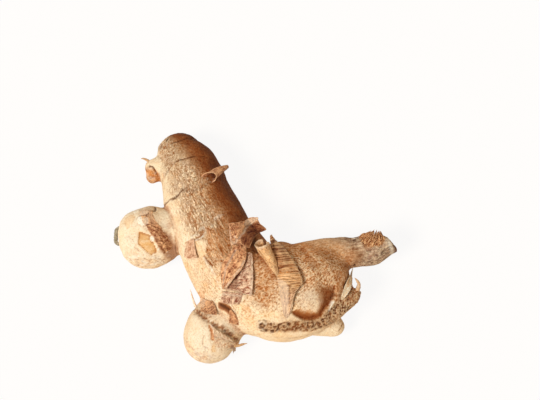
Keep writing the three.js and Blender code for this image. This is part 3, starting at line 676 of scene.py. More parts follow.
skin_points = P + N * height[:, None]
stub_middle = np.interp(P[:, 0], *zip(*[(x, y) for x, y, z, size in STUB]))
stub_side = P[:, 1] - stub_middle  # the stub bellies out in front and narrows to its end
skin_points[:, 1] += woody * (rise(P[:, 0], 52, 62) * (-0.42 * stub_side - 1.0)
                              - 1.7 * hump(P[:, 0] - 52, 6) * rise(-stub_side, 0, 5))
skin_points[:, 2] = np.maximum(skin_points[:, 2], 0)
skin.vertices.foreach_set("co", (skin_points * MM).astype(np.float32).ravel())
skin.update()


def hollowness(mesh, rounds):
    """How far each vertex lies below its neighbourhood, in mm; below 0 where it stands proud."""
    points, normals = coordinates(mesh)
    edges = np.empty(len(mesh.edges) * 2, np.int32)
    mesh.edges.foreach_get("vertices", edges)
    a, b = edges.reshape(-1, 2).T
    count = np.bincount(a, minlength=len(points)) + np.bincount(b, minlength=len(points))
    mean = points.copy()
    for _ in range(rounds):
        total = np.stack([np.bincount(a, mean[b, k], len(points)) + np.bincount(b, mean[a, k], len(points))
                          for k in range(3)], 1)
        mean = 0.5 * mean + 0.5 * total / count[:, None]
    return ((mean - points) * normals).sum(1)


# For painted shade in the skin's hollows and painted highlight on its proud points.
set_mask(skin, "fine_hollow", np.clip(hollowness(skin, 4) / 0.06, -1, 1))
set_mask(skin, "wide_hollow", np.clip(hollowness(skin, 60) / 0.5, -1, 1))
for name, values in masks.items():
    set_mask(skin, name, np.clip(values, 0, 1))
set_place(skin, "grain", grain_squeezed)
skin.polygons.foreach_set("use_smooth", [True] * len(skin.polygons))


def paint_of(red, green, blue):
    """A screen colour, 0 to 255, as the shader's own linear colour."""
    return tuple(((c / 255 + 0.055) / 1.055) ** 2.4 for c in (red, green, blue)) + (1,)


def mask(tree, name):
    """A number a vertex that set_mask kept."""
    return node(tree, "Attribute", {}, attribute_name=name), "Fac"


def kept_place(tree, name):
    """A place a vertex that set_place kept."""
    return node(tree, "Attribute", {}, attribute_name=name), "Vector"


def noise(tree, where, scale, detail, roughness, distortion=0.0):
    """A cloudy number from 0 to 1."""
    return node(tree, "TexNoise", {"Vector": where, "Scale": scale, "Detail": detail, "Roughness": roughness,
                                   "Distortion": distortion})


def laid_over(tree, colour, share, amount, over, how="MIX"):
    """A colour with another laid over it, as strongly as a share times an amount."""
    strength = maths(tree, "MULTIPLY", share, amount)
    return node(tree, "MixRGB", {"Fac": strength, "Color1": colour, "Color2": over}, blend_type=how)


def ramp(tree, value, *stops):
    """A colour ramp through (place, colour) stops."""
    made = node(tree, "ValToRGB", {"Fac": value})
    elements = made.color_ramp.elements
    while len(elements) < len(stops):
        elements.new(0.5)
    for element, (place, colour) in zip(elements, stops):
        element.position = place
        element.color = colour
    return made


def stretch(tree, value, low, high):
    """Brings low to high out to 0 to 1."""
    return node(tree, "MapRange", {"Value": value, "From Min": low, "From Max": high})


CREAM = paint_of(250, 236, 200)
BUTTER = paint_of(246, 210, 154)
TAN = paint_of(228, 172, 114)
OCHRE = paint_of(218, 140, 70)
GOLD = paint_of(250, 176, 98)
BROWN = paint_of(146, 76, 26)
DARK = paint_of(72, 38, 18)
GREY = paint_of(178, 138, 106)
PALE = paint_of(252, 246, 230)
GLEAM = paint_of(255, 234, 198)  # painted highlight on the tops of wrinkles and on proud points, and pale grain and dust specks
RUST = paint_of(206, 142, 106)
SKIN_STAIN_AND_SHADE = (0.34, 0.17, 0.07, 1)  # what brown stains and painted shade do to it
GROOVE = (0.50, 0.28, 0.14, 1)  # what a groove's shade does to the paint under it


def worms(tree, where, scale, width):
    """Thin crooked lines, 1 on the line and 0 away from it, as on cracked or creased skin."""
    cloud = noise(tree, where, scale, 2, 0.5, 0.4)
    away = maths(tree, "ABSOLUTE", maths(tree, "SUBTRACT", cloud, 0.5))
    return stretch(tree, away, width, 0.0)


rind, tree = new_material("cork_skin")
where = (node(tree, "TexCoord", {}), "Object")
grain_run = kept_place(tree, "grain")
wrinkled, streaked = mask(tree, "wrinkled"), mask(tree, "streaked")
fine_hollow = mask(tree, "fine_hollow")
patches = noise(tree, where, 85, 5, 0.6)
mottle = noise(tree, where, 520, 4, 0.65, 0.6)
speckle = noise(tree, where, 1250, 3, 0.7)
leather = noise(tree, grain_run, 1.15, 3, 0.6, 0.5)
grooves = maths(tree, "MAXIMUM", worms(tree, grain_run, 0.8, 0.06), worms(tree, grain_run, 1.5, 0.06))
fine_grain = noise(tree, grain_run, 2.1, 3, 0.65, 0.3)
grit = noise(tree, where, 1150, 2, 0.5)
streak = maths(tree, "MULTIPLY", maths(tree, "ADD", fine_grain, grit), 0.5)

# The calm skin and the wrinkled skin lie lowest. The paints after them lie over them in places.
CALM_BUTTER = paint_of(246, 214, 164)
calm_skin = ramp(tree, patches, (0.32, CALM_BUTTER), (0.5, paint_of(250, 240, 212)), (0.72, CALM_BUTTER))
rough_skin = ramp(tree, patches, (0.32, paint_of(242, 192, 138)), (0.48, paint_of(255, 234, 206)),
                  (0.64, paint_of(252, 216, 172)))
grey_skin = ramp(tree, mottle, (0.36, BROWN), (0.46, GREY), (0.62, BUTTER))
old_wood = ramp(tree, mottle, (0.36, paint_of(82, 48, 34)), (0.46, paint_of(116, 82, 66)),
                (0.62, paint_of(174, 140, 120)))
scarred = ramp(tree, mottle, (0.43, DARK), (0.50, paint_of(134, 92, 58)), (0.61, paint_of(190, 142, 98)),
               (0.71, CREAM))
gilt = ramp(tree, mottle, (0.34, OCHRE), (0.5, GOLD), (0.66, TAN))
rusty = ramp(tree, mottle, (0.4, BROWN), (0.48, RUST), (0.6, CREAM))
worn = ramp(tree, speckle, (0.36, (0.74, 0.56, 0.36, 1)), (0.48, (1, 1, 1, 1)))

bare = maths(tree, "MULTIPLY_ADD", wrinkled, 0.9)
bare.inputs[2].default_value = 0.1
# Painted highlight on the wrinkles' tops, and painted shade in their grooves and in the skin's small hollows.
leather_tops = maths(tree, "MULTIPLY", stretch(tree, leather, 0.51, 0.58), bare)
lows = maths(tree, "MULTIPLY", maths(tree, "MAXIMUM", grooves, stretch(tree, leather, 0.48, 0.39)), bare)
lows = maths(tree, "ADD", maths(tree, "MULTIPLY", lows, 0.8),
             maths(tree, "MULTIPLY", stretch(tree, fine_hollow, 0.05, 0.9), 0.7), clamp=True)
streak_tops = maths(tree, "MULTIPLY", stretch(tree, streak, 0.50, 0.565), streaked)
streak_lows = maths(tree, "MULTIPLY", stretch(tree, streak, 0.488, 0.43), streaked)
dust = maths(tree, "MULTIPLY", stretch(tree, speckle, 0.53, 0.66), stretch(tree, patches, 0.35, 0.6))
dust_amount = node(tree, "MapRange", {"Value": streaked, "To Min": 0.4, "To Max": 0.85})
specked = node(tree, "MapRange", {"Value": maths(tree, "MAXIMUM", wrinkled, streaked), "To Min": 0.5,
                                  "To Max": 1.0})

# From the bottom up: the share and the amount of each layer, and its colour.
LAYERS = [
    (wrinkled, 1, rough_skin),
    (stretch(tree, mottle, 0.52, 0.75), 0.3, TAN),
    (mask(tree, "grey"), 0.85, grey_skin),
    (mask(tree, "wood"), 0.92, old_wood),
    (mask(tree, "scar"), 1, scarred),
    (mask(tree, "gold"), 1, gilt),
    (mask(tree, "rust"), 1, rusty),
    (mask(tree, "window"), 0.9, paint_of(236, 186, 118)),
    # Painted shade in the skin's broad hollows.
    (stretch(tree, mask(tree, "wide_hollow"), 0.1, 1.0), 0.5, OCHRE),
    # Painted highlight on the wrinkles' tops and on proud points, then painted shade in the grooves and small
    # hollows.
    (leather_tops, 0.85, GLEAM),
    (stretch(tree, fine_hollow, -0.1, -0.9), 0.5, GLEAM),
    (lows, 1, GROOVE, "MULTIPLY"),
    (streak_tops, 0.9, GLEAM),
    (streak_lows, 0.9, GROOVE, "MULTIPLY"),
    (dust, dust_amount, GLEAM),
    # The brown mask holds real stains and painted shade alike.
    (mask(tree, "brown"), 0.5, GOLD),
    (mask(tree, "brown"), 1, SKIN_STAIN_AND_SHADE, "MULTIPLY"),
    (mask(tree, "scar"), 0.6, (0.66, 0.54, 0.42, 1), "MULTIPLY"),
    (mask(tree, "pale"), 1, PALE),
    (mask(tree, "dark"), 1, DARK),
    (specked, 1, worn, "MULTIPLY"),
]
colour = calm_skin
for layer in LAYERS:
    colour = laid_over(tree, colour, *layer)
relief = maths(tree, "MULTIPLY", maths(tree, "SUBTRACT", leather, grooves), bare)
pimples = maths(tree, "ADD", maths(tree, "MULTIPLY", speckle, 0.3), maths(tree, "MULTIPLY", mottle, 0.5))
bumps = node(tree, "Bump", {"Height": maths(tree, "ADD", pimples, relief), "Strength": 0.85,
                            "Distance": 0.4 * MM})
shine = node(tree, "MapRange", {"Value": mottle, "To Min": 0.6, "To Max": 0.85})
body = node(tree, "BsdfPrincipled", {"Base Color": colour, "Roughness": shine, "Normal": bumps,
                                     "Specular IOR Level": 0.12})
node(tree, "OutputMaterial", {"Surface": body})
skin.materials.append(rind)
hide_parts("rhizome")
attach(core, "root")


# ---- Scales on the middle of the body ----
# Dry bases of the leaves that once wrapped each joint: five thin sheets of dead leaf, red-brown or netted.
# Each is still grown fast along one side, crumpled, ribbed by its veins, and torn and lifted at its edges.
def through(points, count):
    """count points on a smooth line through the given ones."""
    points = np.asarray(points, float)
    last = len(points) - 1
    t = np.linspace(0, last, count)
    i = np.minimum(t.astype(int), last - 1)
    t = (t - i).reshape(-1, *[1] * (points.ndim - 1))
    return spline(points[np.maximum(i - 1, 0)], points[i], points[i + 1], points[np.minimum(i + 2, last)], t)


def picked(grid, down, across):
    """Points of a grid at shares down it and across it."""
    i, j = down * (grid.shape[0] - 1), across * (grid.shape[1] - 1)
    i0, j0 = np.minimum(i.astype(int), grid.shape[0] - 2), np.minimum(j.astype(int), grid.shape[1] - 2)
    s, t = (i - i0)[..., None], (j - j0)[..., None]
    return ((grid[i0, j0] * (1 - t) + grid[i0, j0 + 1] * t) * (1 - s)
            + (grid[i0 + 1, j0] * (1 - t) + grid[i0 + 1, j0 + 1] * t) * s)


ABOVE_ALL = 90  # mm up, higher than any of it


def skin_under(tree, x, y, least):
    """The height of the skin under a point, and no less than least."""
    hit = tree.ray_cast(Vector((x, y, ABOVE_ALL)), Vector((0, 0, -1)))[0]
    return least if hit is None else max(hit.z, least)


def facing(grid):
    """Which way each point of a grid of points faces."""
    down, across = np.gradient(grid, axis=0), np.gradient(grid, axis=1)
    normal = np.cross(across, down)
    normal /= np.linalg.norm(normal, axis=2)[..., None] + 1e-9
    return normal


faces = [tuple(face.vertices) for face in skin.polygons]
bare_skin = BVHTree.FromPolygons(P.tolist(), faces)
true_skin = BVHTree.FromPolygons(skin_points.tolist(), faces)
SHEET_STEP = 0.32  # mm between the points of a leaf
SHEET_THICKNESS = 0.22
SHEET_CLEAR = 0.14  # least height over the skin
FEWEST_ROWS = 8
GRID_POINTS = 6  # points of a leaf's smooth grid for each one that is given


def ragged_sheet(grid, number, ragged, crumple, ribs, rib_turn):
    """A torn, crumpled and ribbed sheet made from a smooth grid, with what its material needs to know: the
    place of each point on it in mm, the same turned along its veins, how far its edge is, and how far down
    it lies. rib_turn has (share down the leaf, turn of the veins) pairs."""
    tall = np.linalg.norm(np.diff(grid, axis=0), axis=2).sum(0).mean()
    wide = np.linalg.norm(np.diff(grid, axis=1), axis=2).sum(1).mean()
    rows, columns = (max(FEWEST_ROWS, round(size / SHEET_STEP)) for size in (tall, wide))
    down, across = np.meshgrid(np.linspace(0, 1, rows), np.linspace(0, 1, columns), indexing="ij")

    def torn(along, size, seed):
        spots = np.stack([along.ravel() * size, along.ravel() * 0, along.ravel() * 0 + number], 1)
        wave = rough(spots, 2.6, seed, 3) + 0.5 * np.abs(rough(spots, 0.9, seed + 3, 2))
        return np.clip(0.5 + wave, 0, 1.6).reshape(along.shape) * ragged

    left, right = torn(down, tall, 80) / wide, torn(down, tall, 81) / wide
    above, below = torn(across, wide, 82) / tall, torn(across, wide, 83) / tall
    u = left + (1 - left - right) * across
    v = above + (1 - above - below) * down
    sheet = picked(grid, v, u)
    spots = np.stack([u.ravel() * wide, v.ravel() * tall, np.full(u.size, 7.0 * number)], 1)
    turn = np.interp(v.ravel(), *zip(*rib_turn))
    veined = np.stack([spots[:, 0] * np.cos(turn) + spots[:, 1] * np.sin(turn),
                       (spots[:, 1] * np.cos(turn) - spots[:, 0] * np.sin(turn)) * 0.1, spots[:, 2]], 1)
    folds = 1 - 2.4 * np.abs(lumps(spots, 3.4, 84))
    small = 1 - 2 * np.abs(rough(spots, 1.5, 85, 2))
    veins = lumps(veined, 0.8, 88) + 0.5 * lumps(veined, 1.8, 89)
    bump = (crumple * (0.6 * folds + 0.4 * small) + ribs * veins).reshape(u.shape)
    edge = np.minimum(np.minimum(across, 1 - across) * wide, np.minimum(down, 1 - down) * tall)
    sheet = sheet + facing(sheet) * bump[..., None]
    return sheet, spots, veined, edge, down


def smooth_piece(name, mesh, finish):
    """A piece with smooth faces and a material, put in the scene."""
    mesh.polygons.foreach_set("use_smooth", [True] * len(mesh.polygons))
    mesh.materials.append(finish)
    piece = bpy.data.objects.new(name, mesh)
    scene.collection.objects.link(piece)
    return piece


def add_sheet(name, sheet, spots, veined, edge, down, finish, worn=0, stain=0):
    """Puts a sheet in the scene as the piece that stands for the part's own leaf."""
    rows, columns = sheet.shape[:2]
    corners = [(i * columns + j, i * columns + j + 1, (i + 1) * columns + j + 1, (i + 1) * columns + j)
               for i in range(rows - 1) for j in range(columns - 1)]
    mesh = bpy.data.meshes.new(name)
    mesh.from_pydata((sheet.reshape(-1, 3) * MM).tolist(), [], [face[::-1] for face in corners])
    # For painted shade in the sheet's hollows and painted highlight on its ridges.
    set_mask(mesh, "crease", np.clip(-hollowness(mesh, 4) / 0.08, -1, 1))
    set_mask(mesh, "fold", np.clip(-hollowness(mesh, 20) / 0.3, -1, 1))
    set_mask(mesh, "edge", hump(edge.ravel(), 0.32) * (0.3 + 0.7 * rise(lumps(spots, 2.4, 91), -0.3, 0.3)))
    set_mask(mesh, "down", down.ravel())
    set_mask(mesh, "worn", np.zeros(down.size) + worn)
    set_mask(mesh, "stain", np.zeros(down.size) + stain)
    set_place(mesh, "spot", spots)
    set_place(mesh, "veined", veined)
    piece = smooth_piece("leaf_" + name, mesh, finish)
    thick = piece.modifiers.new("thickness", "SOLIDIFY")
    thick.thickness = SHEET_THICKNESS * MM
    thick.offset = -1
    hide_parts(name)
    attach(piece, "root")


def laid_leaf(name, rows, least, finish, number, ragged=0.5, crumple=0.3, ribs=0.06,
              rib_turn=((0, 0),), creases=(), worn_and_lit_at=(), shade_and_stain_at=()):
    """A leaf laid on the skin. A row runs across it, and a point is x, y and its height over the skin.
    Its sharp creases have a height, a width, how worn they are and a line seen from above; its worn places,
    some of them brightened with painted highlight, and its places darkened by stains and by painted shade,
    have how much and an outline."""
    grid = through(rows, len(rows) * GRID_POINTS)
    grid = through(grid.transpose(1, 0, 2), len(rows[0]) * GRID_POINTS).transpose(1, 0, 2)
    grid[..., 2] += [[skin_under(bare_skin, x, y, least) for x, y, lift in row] for row in grid]
    sheet, spots, veined, edge, down = ragged_sheet(grid, number, ragged, crumple, ribs, rib_turn)
    plan = sheet[..., :2].reshape(-1, 2)
    wobble = 0.5 * rough(spots, 1.6, 90)
    worn, stain, raised = np.zeros(len(plan)), np.zeros(len(plan)), np.zeros(len(plan))
    for tall, wide, wear, line in creases:
        far = from_above(plan, np.array(line, float))[0] + 0.4 * np.abs(wobble)
        raised += tall * np.exp(-far / wide)
        broken = 0.35 + 0.65 * rise(lumps(spots, 2, 92), -0.4, 0.3)
        worn = np.maximum(worn, wear * hump(far, 0.45) * broken)
    for places, share in ((worn_and_lit_at, worn), (shade_and_stain_at, stain)):
        for much, outline in places:
            far, inside = from_above(plan, np.array([*outline, outline[0]], float))
            np.maximum(share, much * rise(np.where(inside, far, -far) + 1.2 * wobble, -0.4, 0.4), out=share)
    sheet = sheet + facing(sheet) * raised.reshape(down.shape)[..., None]
    skin_there = np.array([[skin_under(true_skin, x, y, 0) for x, y, z in row] for row in sheet])
    sheet[..., 2] = np.maximum(sheet[..., 2], skin_there + SHEET_CLEAR)
    add_sheet(name, sheet, spots, veined, edge, down, finish, worn, stain)


LEAF_SHADE_AND_STAIN = (0.34, 0.20, 0.14, 1)  # what stains and painted shade do to a leaf's colour
WORN_AND_LIT_WHITE = paint_of(255, 230, 200)


def paper(name, stages, light, deep, veining=0.4, wear=0.35, banding=0.2, fineness=1.5):
    """Dry leaf skin: its colour changes down the leaf in (share down it, colour) stages, with veins, broad
    bands along them, pale worn creases, painted highlight on its ridges and folds, and painted shade in its
    hollows."""
    made, tree = new_material(name)
    spot, veined = kept_place(tree, "spot"), kept_place(tree, "veined")
    crease, fold = mask(tree, "crease"), mask(tree, "fold")
    veins = noise(tree, veined, fineness, 4, 0.6)
    cloud = noise(tree, spot, 0.42, 4, 0.65, 0.8)
    speck = noise(tree, spot, 1.6, 3, 0.7)
    blotch = noise(tree, spot, 0.8, 2, 0.5, 0.5)
    broad = noise(tree, veined, 0.6, 1, 0.5)
    creases = maths(tree, "MAXIMUM", worms(tree, spot, 0.42, 0.035), worms(tree, spot, 0.8, 0.045))
    layers = [
        (stretch(tree, cloud, 0.48, 0.36), 0.6, deep),
        (stretch(tree, blotch, 0.48, 0.38), 0.6, deep),
        (stretch(tree, blotch, 0.55, 0.62), 0.3 + wear, light),
        (stretch(tree, broad, 0.48, 0.4), banding, deep),
        (stretch(tree, cloud, 0.54, 0.68), wear, light),
        (stretch(tree, veins, 0.5, 0.38), veining, deep),
        (stretch(tree, veins, 0.54, 0.66), veining, light),
        (stretch(tree, broad, 0.53, 0.6), banding, light),
        (stretch(tree, speck, 0.47, 0.38), 0.6, deep),
        # Painted shade in the crumpled sheet's hollows.
        (stretch(tree, crease, -0.1, -0.7), 0.8, deep),
        (stretch(tree, fold, -0.1, -0.7), 0.7, deep),
        (stretch(tree, speck, 0.57, 0.64), 0.2 + wear, light),
        (creases, wear, light),
        # Painted highlight on its ridges and folds.
        (stretch(tree, crease, 0.15, 0.7), 0.3 + wear, light),
        (stretch(tree, fold, 0.15, 0.7), 0.7, light),
        (mask(tree, "stain"), 0.9, LEAF_SHADE_AND_STAIN, "MULTIPLY"),
        (mask(tree, "worn"), 0.85, WORN_AND_LIT_WHITE),
        (mask(tree, "edge"), 0.6, light),
    ]
    colour = ramp(tree, mask(tree, "down"), *stages)
    for layer in layers:
        colour = laid_over(tree, colour, *layer)
    uneven = maths(tree, "ADD", maths(tree, "ADD", veins, speck), creases)
    bumps = node(tree, "Bump", {"Height": uneven, "Strength": 0.8, "Distance": 0.22 * MM})
    shine = node(tree, "MapRange", {"Value": speck, "To Min": 0.45, "To Max": 0.75})
    body = node(tree, "BsdfPrincipled", {"Base Color": colour, "Roughness": shine, "Normal": bumps,
                                         "Specular IOR Level": 0.15})
    node(tree, "OutputMaterial", {"Surface": body})
    return made


RED_LIGHT = paint_of(255, 202, 150)
RED_DEEP = paint_of(112, 38, 12)
PINK_LIGHT = paint_of(255, 224, 190)
red_paper = paper("red_brown_paper", [(0.0, paint_of(206, 112, 64)), (1.0, paint_of(204, 128, 84))],
                  RED_LIGHT, RED_DEEP, wear=0.6)
netted_paper = paper("netted_paper", [(0.0, paint_of(182, 98, 56)), (1.0, paint_of(198, 120, 78))],
                     PINK_LIGHT, RED_DEEP, wear=0.6)

SQUARE_SCALE = [
    [(-11.4, 3.7, 1.4), (-8, 4, 3), (-4.9, 5.1, 4), (-2.1, 7.3, 4.6), (1.2, 6.9, 5)],
    [(-11.2, 0.9, 1.8), (-8.4, 0.6, 3), (-5.4, 1.6, 4.6), (-1.6, 3.9, 4.6), (2.4, 4.4, 4.4)],
    [(-11, -2, 2), (-8.8, -2.4, 3), (-5.6, -1.2, 4.8), (-1.2, 1, 3.8), (5.2, 2, 3)],
    [(-10.7, -4.8, 1.8), (-9, -5.1, 2.6), (-6.4, -4.2, 4), (-2.6, -2.6, 3.2), (1, -0.5, 2.4)],
    [(-10.3, -7.4, 1.5), (-8.5, -6.6, 2.4), (-6.2, -6.6, 2.8), (-4, -8.1, 2.6), (-2.2, -8.6, 1.8)],
]
laid_leaf("square_scale", SQUARE_SCALE, 26, red_paper, 1, ragged=0.35, crumple=0.32, ribs=0.05,
          creases=[(0.8, 0.8, 1, [(1.2, 7), (-2.1, 4), (-3.7, 1.2), (-4.6, -1.6), (-6.1, -3.3),
                                  (-6.9, -4.7)]),
                   (0.3, 0.5, 0.8, [(-11.4, 4), (-11, -2), (-10.4, -7.6)]),
                   (0.3, 0.5, 0.9, [(-8.6, -3.4), (-7.6, -5.4), (-8.4, -7)])],
          # The first worn place is pale folded leaf by the ridge, brightened with painted highlight where its
          # top is lit.
          worn_and_lit_at=[(0.7, [(-3.8, 6.3), (1.2, 7.4), (1.8, 6), (-2.2, 4.9), (-3.6, 2.4), (-4.4, 3.3)]),
                   (0.5, [(-11.6, 0), (-10.6, 0), (-9.8, -5), (-7.4, -5.6), (-8.6, -7.4), (-10.8, -8.4)])],
          # The first darkened place is painted shade on the right panel, which slopes away from the lamp; the
          # second darkens the left panel's top a little.
          shade_and_stain_at=[(1, [(-3.4, 1.8), (-2, 4.6), (2.4, 5.2), (5.4, 2.4), (0.8, -0.9), (-1.5, -5.3),
                           (-2.9, -9.5), (-5.3, -6.7), (-6.2, -4.3), (-4.5, -1.6)]),
                      (0.4, [(-10, 3), (-6, 3.4), (-6.4, 0), (-9.6, -1)])])
UNDER_SCALE = [
    [(-5.4, -9.2, 0.8), (-3.2, -9.5, 1), (-1, -9.9, 1.4)],
    [(-6.1, -14.6, 0.8), (-3.6, -15.2, 1.2), (-0.8, -15.3, 1.8)],
    [(-8.6, -19, 0.8), (-4.8, -19.8, 1.4), (-0.6, -20.7, 2.2)],
    [(-11.2, -23.1, 0.8), (-6, -24.4, 1.4), (-0.7, -25.4, 2.4)],
    [(-12.4, -26.1, 1), (-6.9, -27.6, 1.6), (-1.4, -30.3, 2.6)],
]
laid_leaf("under_scale", UNDER_SCALE, 0, netted_paper, 2, ragged=0.45, crumple=0.32, ribs=0.06,
          rib_turn=((0, 1.3),),
          creases=[(0.5, 0.5, 1, [(-1.7, -10.8), (-1.1, -15.3), (-1.1, -20.7), (-1.2, -25.4), (-1.8, -30)])],
          # Painted shadow of the long scale's lifted edge on this leaf.
          shade_and_stain_at=[(0.8, [(-11, -22.6), (-8, -19), (-5.6, -19), (-7, -22.8), (-7.6, -26.4),
                             (-11.6, -25.6)])])
LONG_SCALE = [
    [(-9.6, -5, 0.7), (-6.4, -5.4, 0.8), (-3, -7, 0.9)],
    [(-9.6, -8, 1), (-6.6, -8.7, 1.4), (-3.2, -10.1, 1.8)],
    [(-11.7, -11.5, 1.2), (-7.8, -13.2, 2.2), (-3.5, -14.4, 3)],
    [(-13.8, -14.5, 1.2), (-9.5, -16.9, 2.6), (-5.2, -18.2, 3.4)],
    [(-14.6, -17.8, 1.2), (-11.1, -19.8, 2.6), (-7.7, -21.2, 3.6)],
    [(-14.4, -22, 1.2), (-12.2, -23, 2.4), (-9.8, -23.5, 3.4)],
    [(-13.7, -26.2, 1.4), (-13.1, -26.1, 2), (-12.4, -26.1, 2.6)],
]
laid_leaf("long_scale", LONG_SCALE, 0, red_paper, 3, ragged=0.45, crumple=0.3, ribs=0.12,
          rib_turn=((0, 0.1),),
          creases=[(0.5, 0.45, 1, [(-4.2, -14.6), (-5.8, -18), (-8.2, -21), (-10.2, -23.4), (-12.6, -25.8)]),
                   (0.4, 0.5, 0.6, [(-8, -9), (-10, -13), (-12.4, -18), (-13.4, -24)])])
FOLD_SCALE = [
    [(-13.8, -26.4, 0.8), (-9.5, -27.3, 1), (-4.8, -28, 0.8)],
    [(-14.4, -28.6, 0.9), (-9.9, -29.6, 1.2), (-5.2, -30.4, 0.8)],
    [(-14.9, -30.7, 1.8), (-10.7, -32.2, 2.4), (-6.5, -32.5, 1)],
]
laid_leaf("fold_scale", FOLD_SCALE, 0, netted_paper, 4, ragged=0.5, crumple=0.2, ribs=0.05,
          creases=[(0.5, 0.6, 0.8, [(-14, -27.4), (-10, -28.4), (-5.4, -29.2)])],
          shade_and_stain_at=[(0.25, [(-16, -26), (-4, -26), (-6, -34), (-16, -34)])])
TONGUE_TAB = [
    [(-10.8, -33.9, 1), (-10.1, -33.8, 1.2), (-9.5, -34.1, 1)],
    [(-10.9, -35.6, 1), (-9.1, -35.9, 1.4), (-7.6, -36.5, 1)],
    [(-11.1, -38.3, 1.4), (-9.2, -38.7, 1.8), (-6.6, -39.3, 1.4)],
]
laid_leaf("tongue_tab", TONGUE_TAB, 0, red_paper, 5, ragged=0.2, crumple=0.2, ribs=0.1,
          shade_and_stain_at=[(0.25, [(-12, -33), (-6, -33), (-6, -40), (-12, -40)])])


# ---- Ribbed sheath ----
# The longest leaf, an orange sheath down the front of the main lobe, with strong veins along it.
# It is grown fast along its left side. Its right edge stands off the skin, and its lower end is folded.
ORANGE_DEEP = paint_of(126, 62, 22)
sheath_paper = paper("ribbed_sheath_paper",
                     [(0.0, paint_of(214, 142, 90)), (0.2, paint_of(202, 122, 62)),
                      (0.38, paint_of(226, 140, 66)), (0.5, paint_of(244, 162, 80)),
                      (0.64, paint_of(248, 182, 108)), (0.76, paint_of(244, 196, 172)),
                      (1.0, paint_of(244, 200, 178))],
                     paint_of(255, 214, 162), ORANGE_DEEP, veining=0.9, wear=0.25, banding=0.45, fineness=2.2)
RIBBED_SHEATH = [
    [(6.6, 0.9, 1), (7.3, 1.3, 1.2), (7.9, 0.7, 1)],
    [(6.6, -1.9, 1.2), (8.4, -1.8, 2.2), (10.9, -3.6, 1.4)],
    [(7.7, -7.8, 1), (10.5, -8.7, 2.6), (14.3, -8.8, 1.6)],
    [(8.7, -12.8, 0.9), (12.1, -13.5, 2.6), (16.6, -13, 1.6)],
    [(9.8, -17.8, 0.9), (13.8, -17.8, 2.6), (18.9, -17.8, 1.8)],
    [(9.4, -21.4, 0.9), (14.2, -22, 2.8), (20.1, -21.7, 2.6)],
    [(9.8, -24.9, 0.8), (14.2, -25.7, 2.6), (20.7, -24.8, 2.8)],
    [(10.4, -28.2, 0.8), (13.7, -28.9, 1.8), (17.9, -28.1, 2.4)],
    [(11, -31.8, 0.8), (13.5, -32.4, 1.6), (16.5, -32.1, 2.2)],
    [(12.1, -36.1, 0.7), (13.3, -36.8, 1.2), (15.4, -36.2, 1.6)],
    [(12.9, -38.2, 0.6), (13.6, -38.2, 0.8), (14.2, -37.8, 0.8)],
]
laid_leaf("ribbed_sheath", RIBBED_SHEATH, 24, sheath_paper, 6, ragged=0.35, crumple=0.14,
          ribs=0.2, rib_turn=((0, 1.4), (0.6, 1.4), (0.72, 0.1)),
          creases=[(0.6, 0.5, 1, [(8, 0.8), (11, -3.6), (14.2, -8.8), (16.5, -13), (18.7, -17.8),
                                  (20.2, -21.7), (20.8, -24.6)]),
                   (0.5, 0.4, 1, [(20.8, -24.8), (18, -28), (16.6, -31), (15.6, -36)]),
                   (0.4, 0.4, 0.8, [(11.8, -26.6), (13, -31), (13.4, -37)])],
          # The first darkened place is painted shadow of the tube beside it; the second is a dark line down
          # the leaf.
          shade_and_stain_at=[(0.45, [(7.4, -6), (10.6, -6), (14, -12), (14.6, -17), (10.4, -18), (9, -12)]),
                      (0.8, [(14.4, -25.6), (15.2, -25.8), (14.9, -33), (14.3, -33)])],
          worn_and_lit_at=[(0.6, [(9.4, -22), (13.4, -24.5), (14.4, -27), (14.2, -36), (15, -39), (12, -38.6),
                          (10.4, -31)])])


# ---- Flaps ----
# Two short pink-brown rags of old leaf, one low on the arm's left side and one over the lower bulb's neck.
# They are dry leaf skin like the scales, grown fast at their upper ends and loose at the lower.
pink_paper = paper("pink_brown_paper", [(0.0, paint_of(255, 204, 162)), (1.0, paint_of(240, 190, 152))],
                   PINK_LIGHT, paint_of(158, 96, 60))
neck_paper = paper("neck_flap_paper", [(0.0, paint_of(216, 158, 114)), (1.0, paint_of(222, 166, 122))],
                   RED_LIGHT, RED_DEEP, veining=0.8, banding=0.5)
LEFT_FLAP = [
    [(-29.3, -2.9, 1), (-27.8, -2.8, 1.2), (-26.2, -3, 1.4)],
    [(-30.5, -5.7, 1.2), (-27.9, -6.7, 1.4), (-25.6, -7.4, 1.6)],
    [(-31.1, -8.5, 1.4), (-27.9, -10.8, 1.8), (-24.5, -11.5, 2.2)],
]
laid_leaf("left_flap", LEFT_FLAP, 0, pink_paper, 7, ragged=0.3, crumple=0.2, ribs=0.06)
NECK_FLAP = [
    [(-24.2, -24.8, 1), (-20.9, -27.9, 1.2), (-18.2, -29.2, 1)],
    [(-23.6, -29.7, 1), (-20, -31.2, 1.6), (-16.5, -32.1, 1.4)],
    [(-23.2, -32.7, 1.2), (-19.9, -34.7, 1.8), (-16, -35.3, 1.8)],
]
laid_leaf("neck_flap", NECK_FLAP, 0, neck_paper, 8, ragged=0.4, crumple=0.12, ribs=0.1,
          rib_turn=((0, 1.0),), worn_and_lit_at=[(0.5, [(-24.6, -24.6), (-21, -27.6), (-22, -31.6), (-23.6, -30)])])


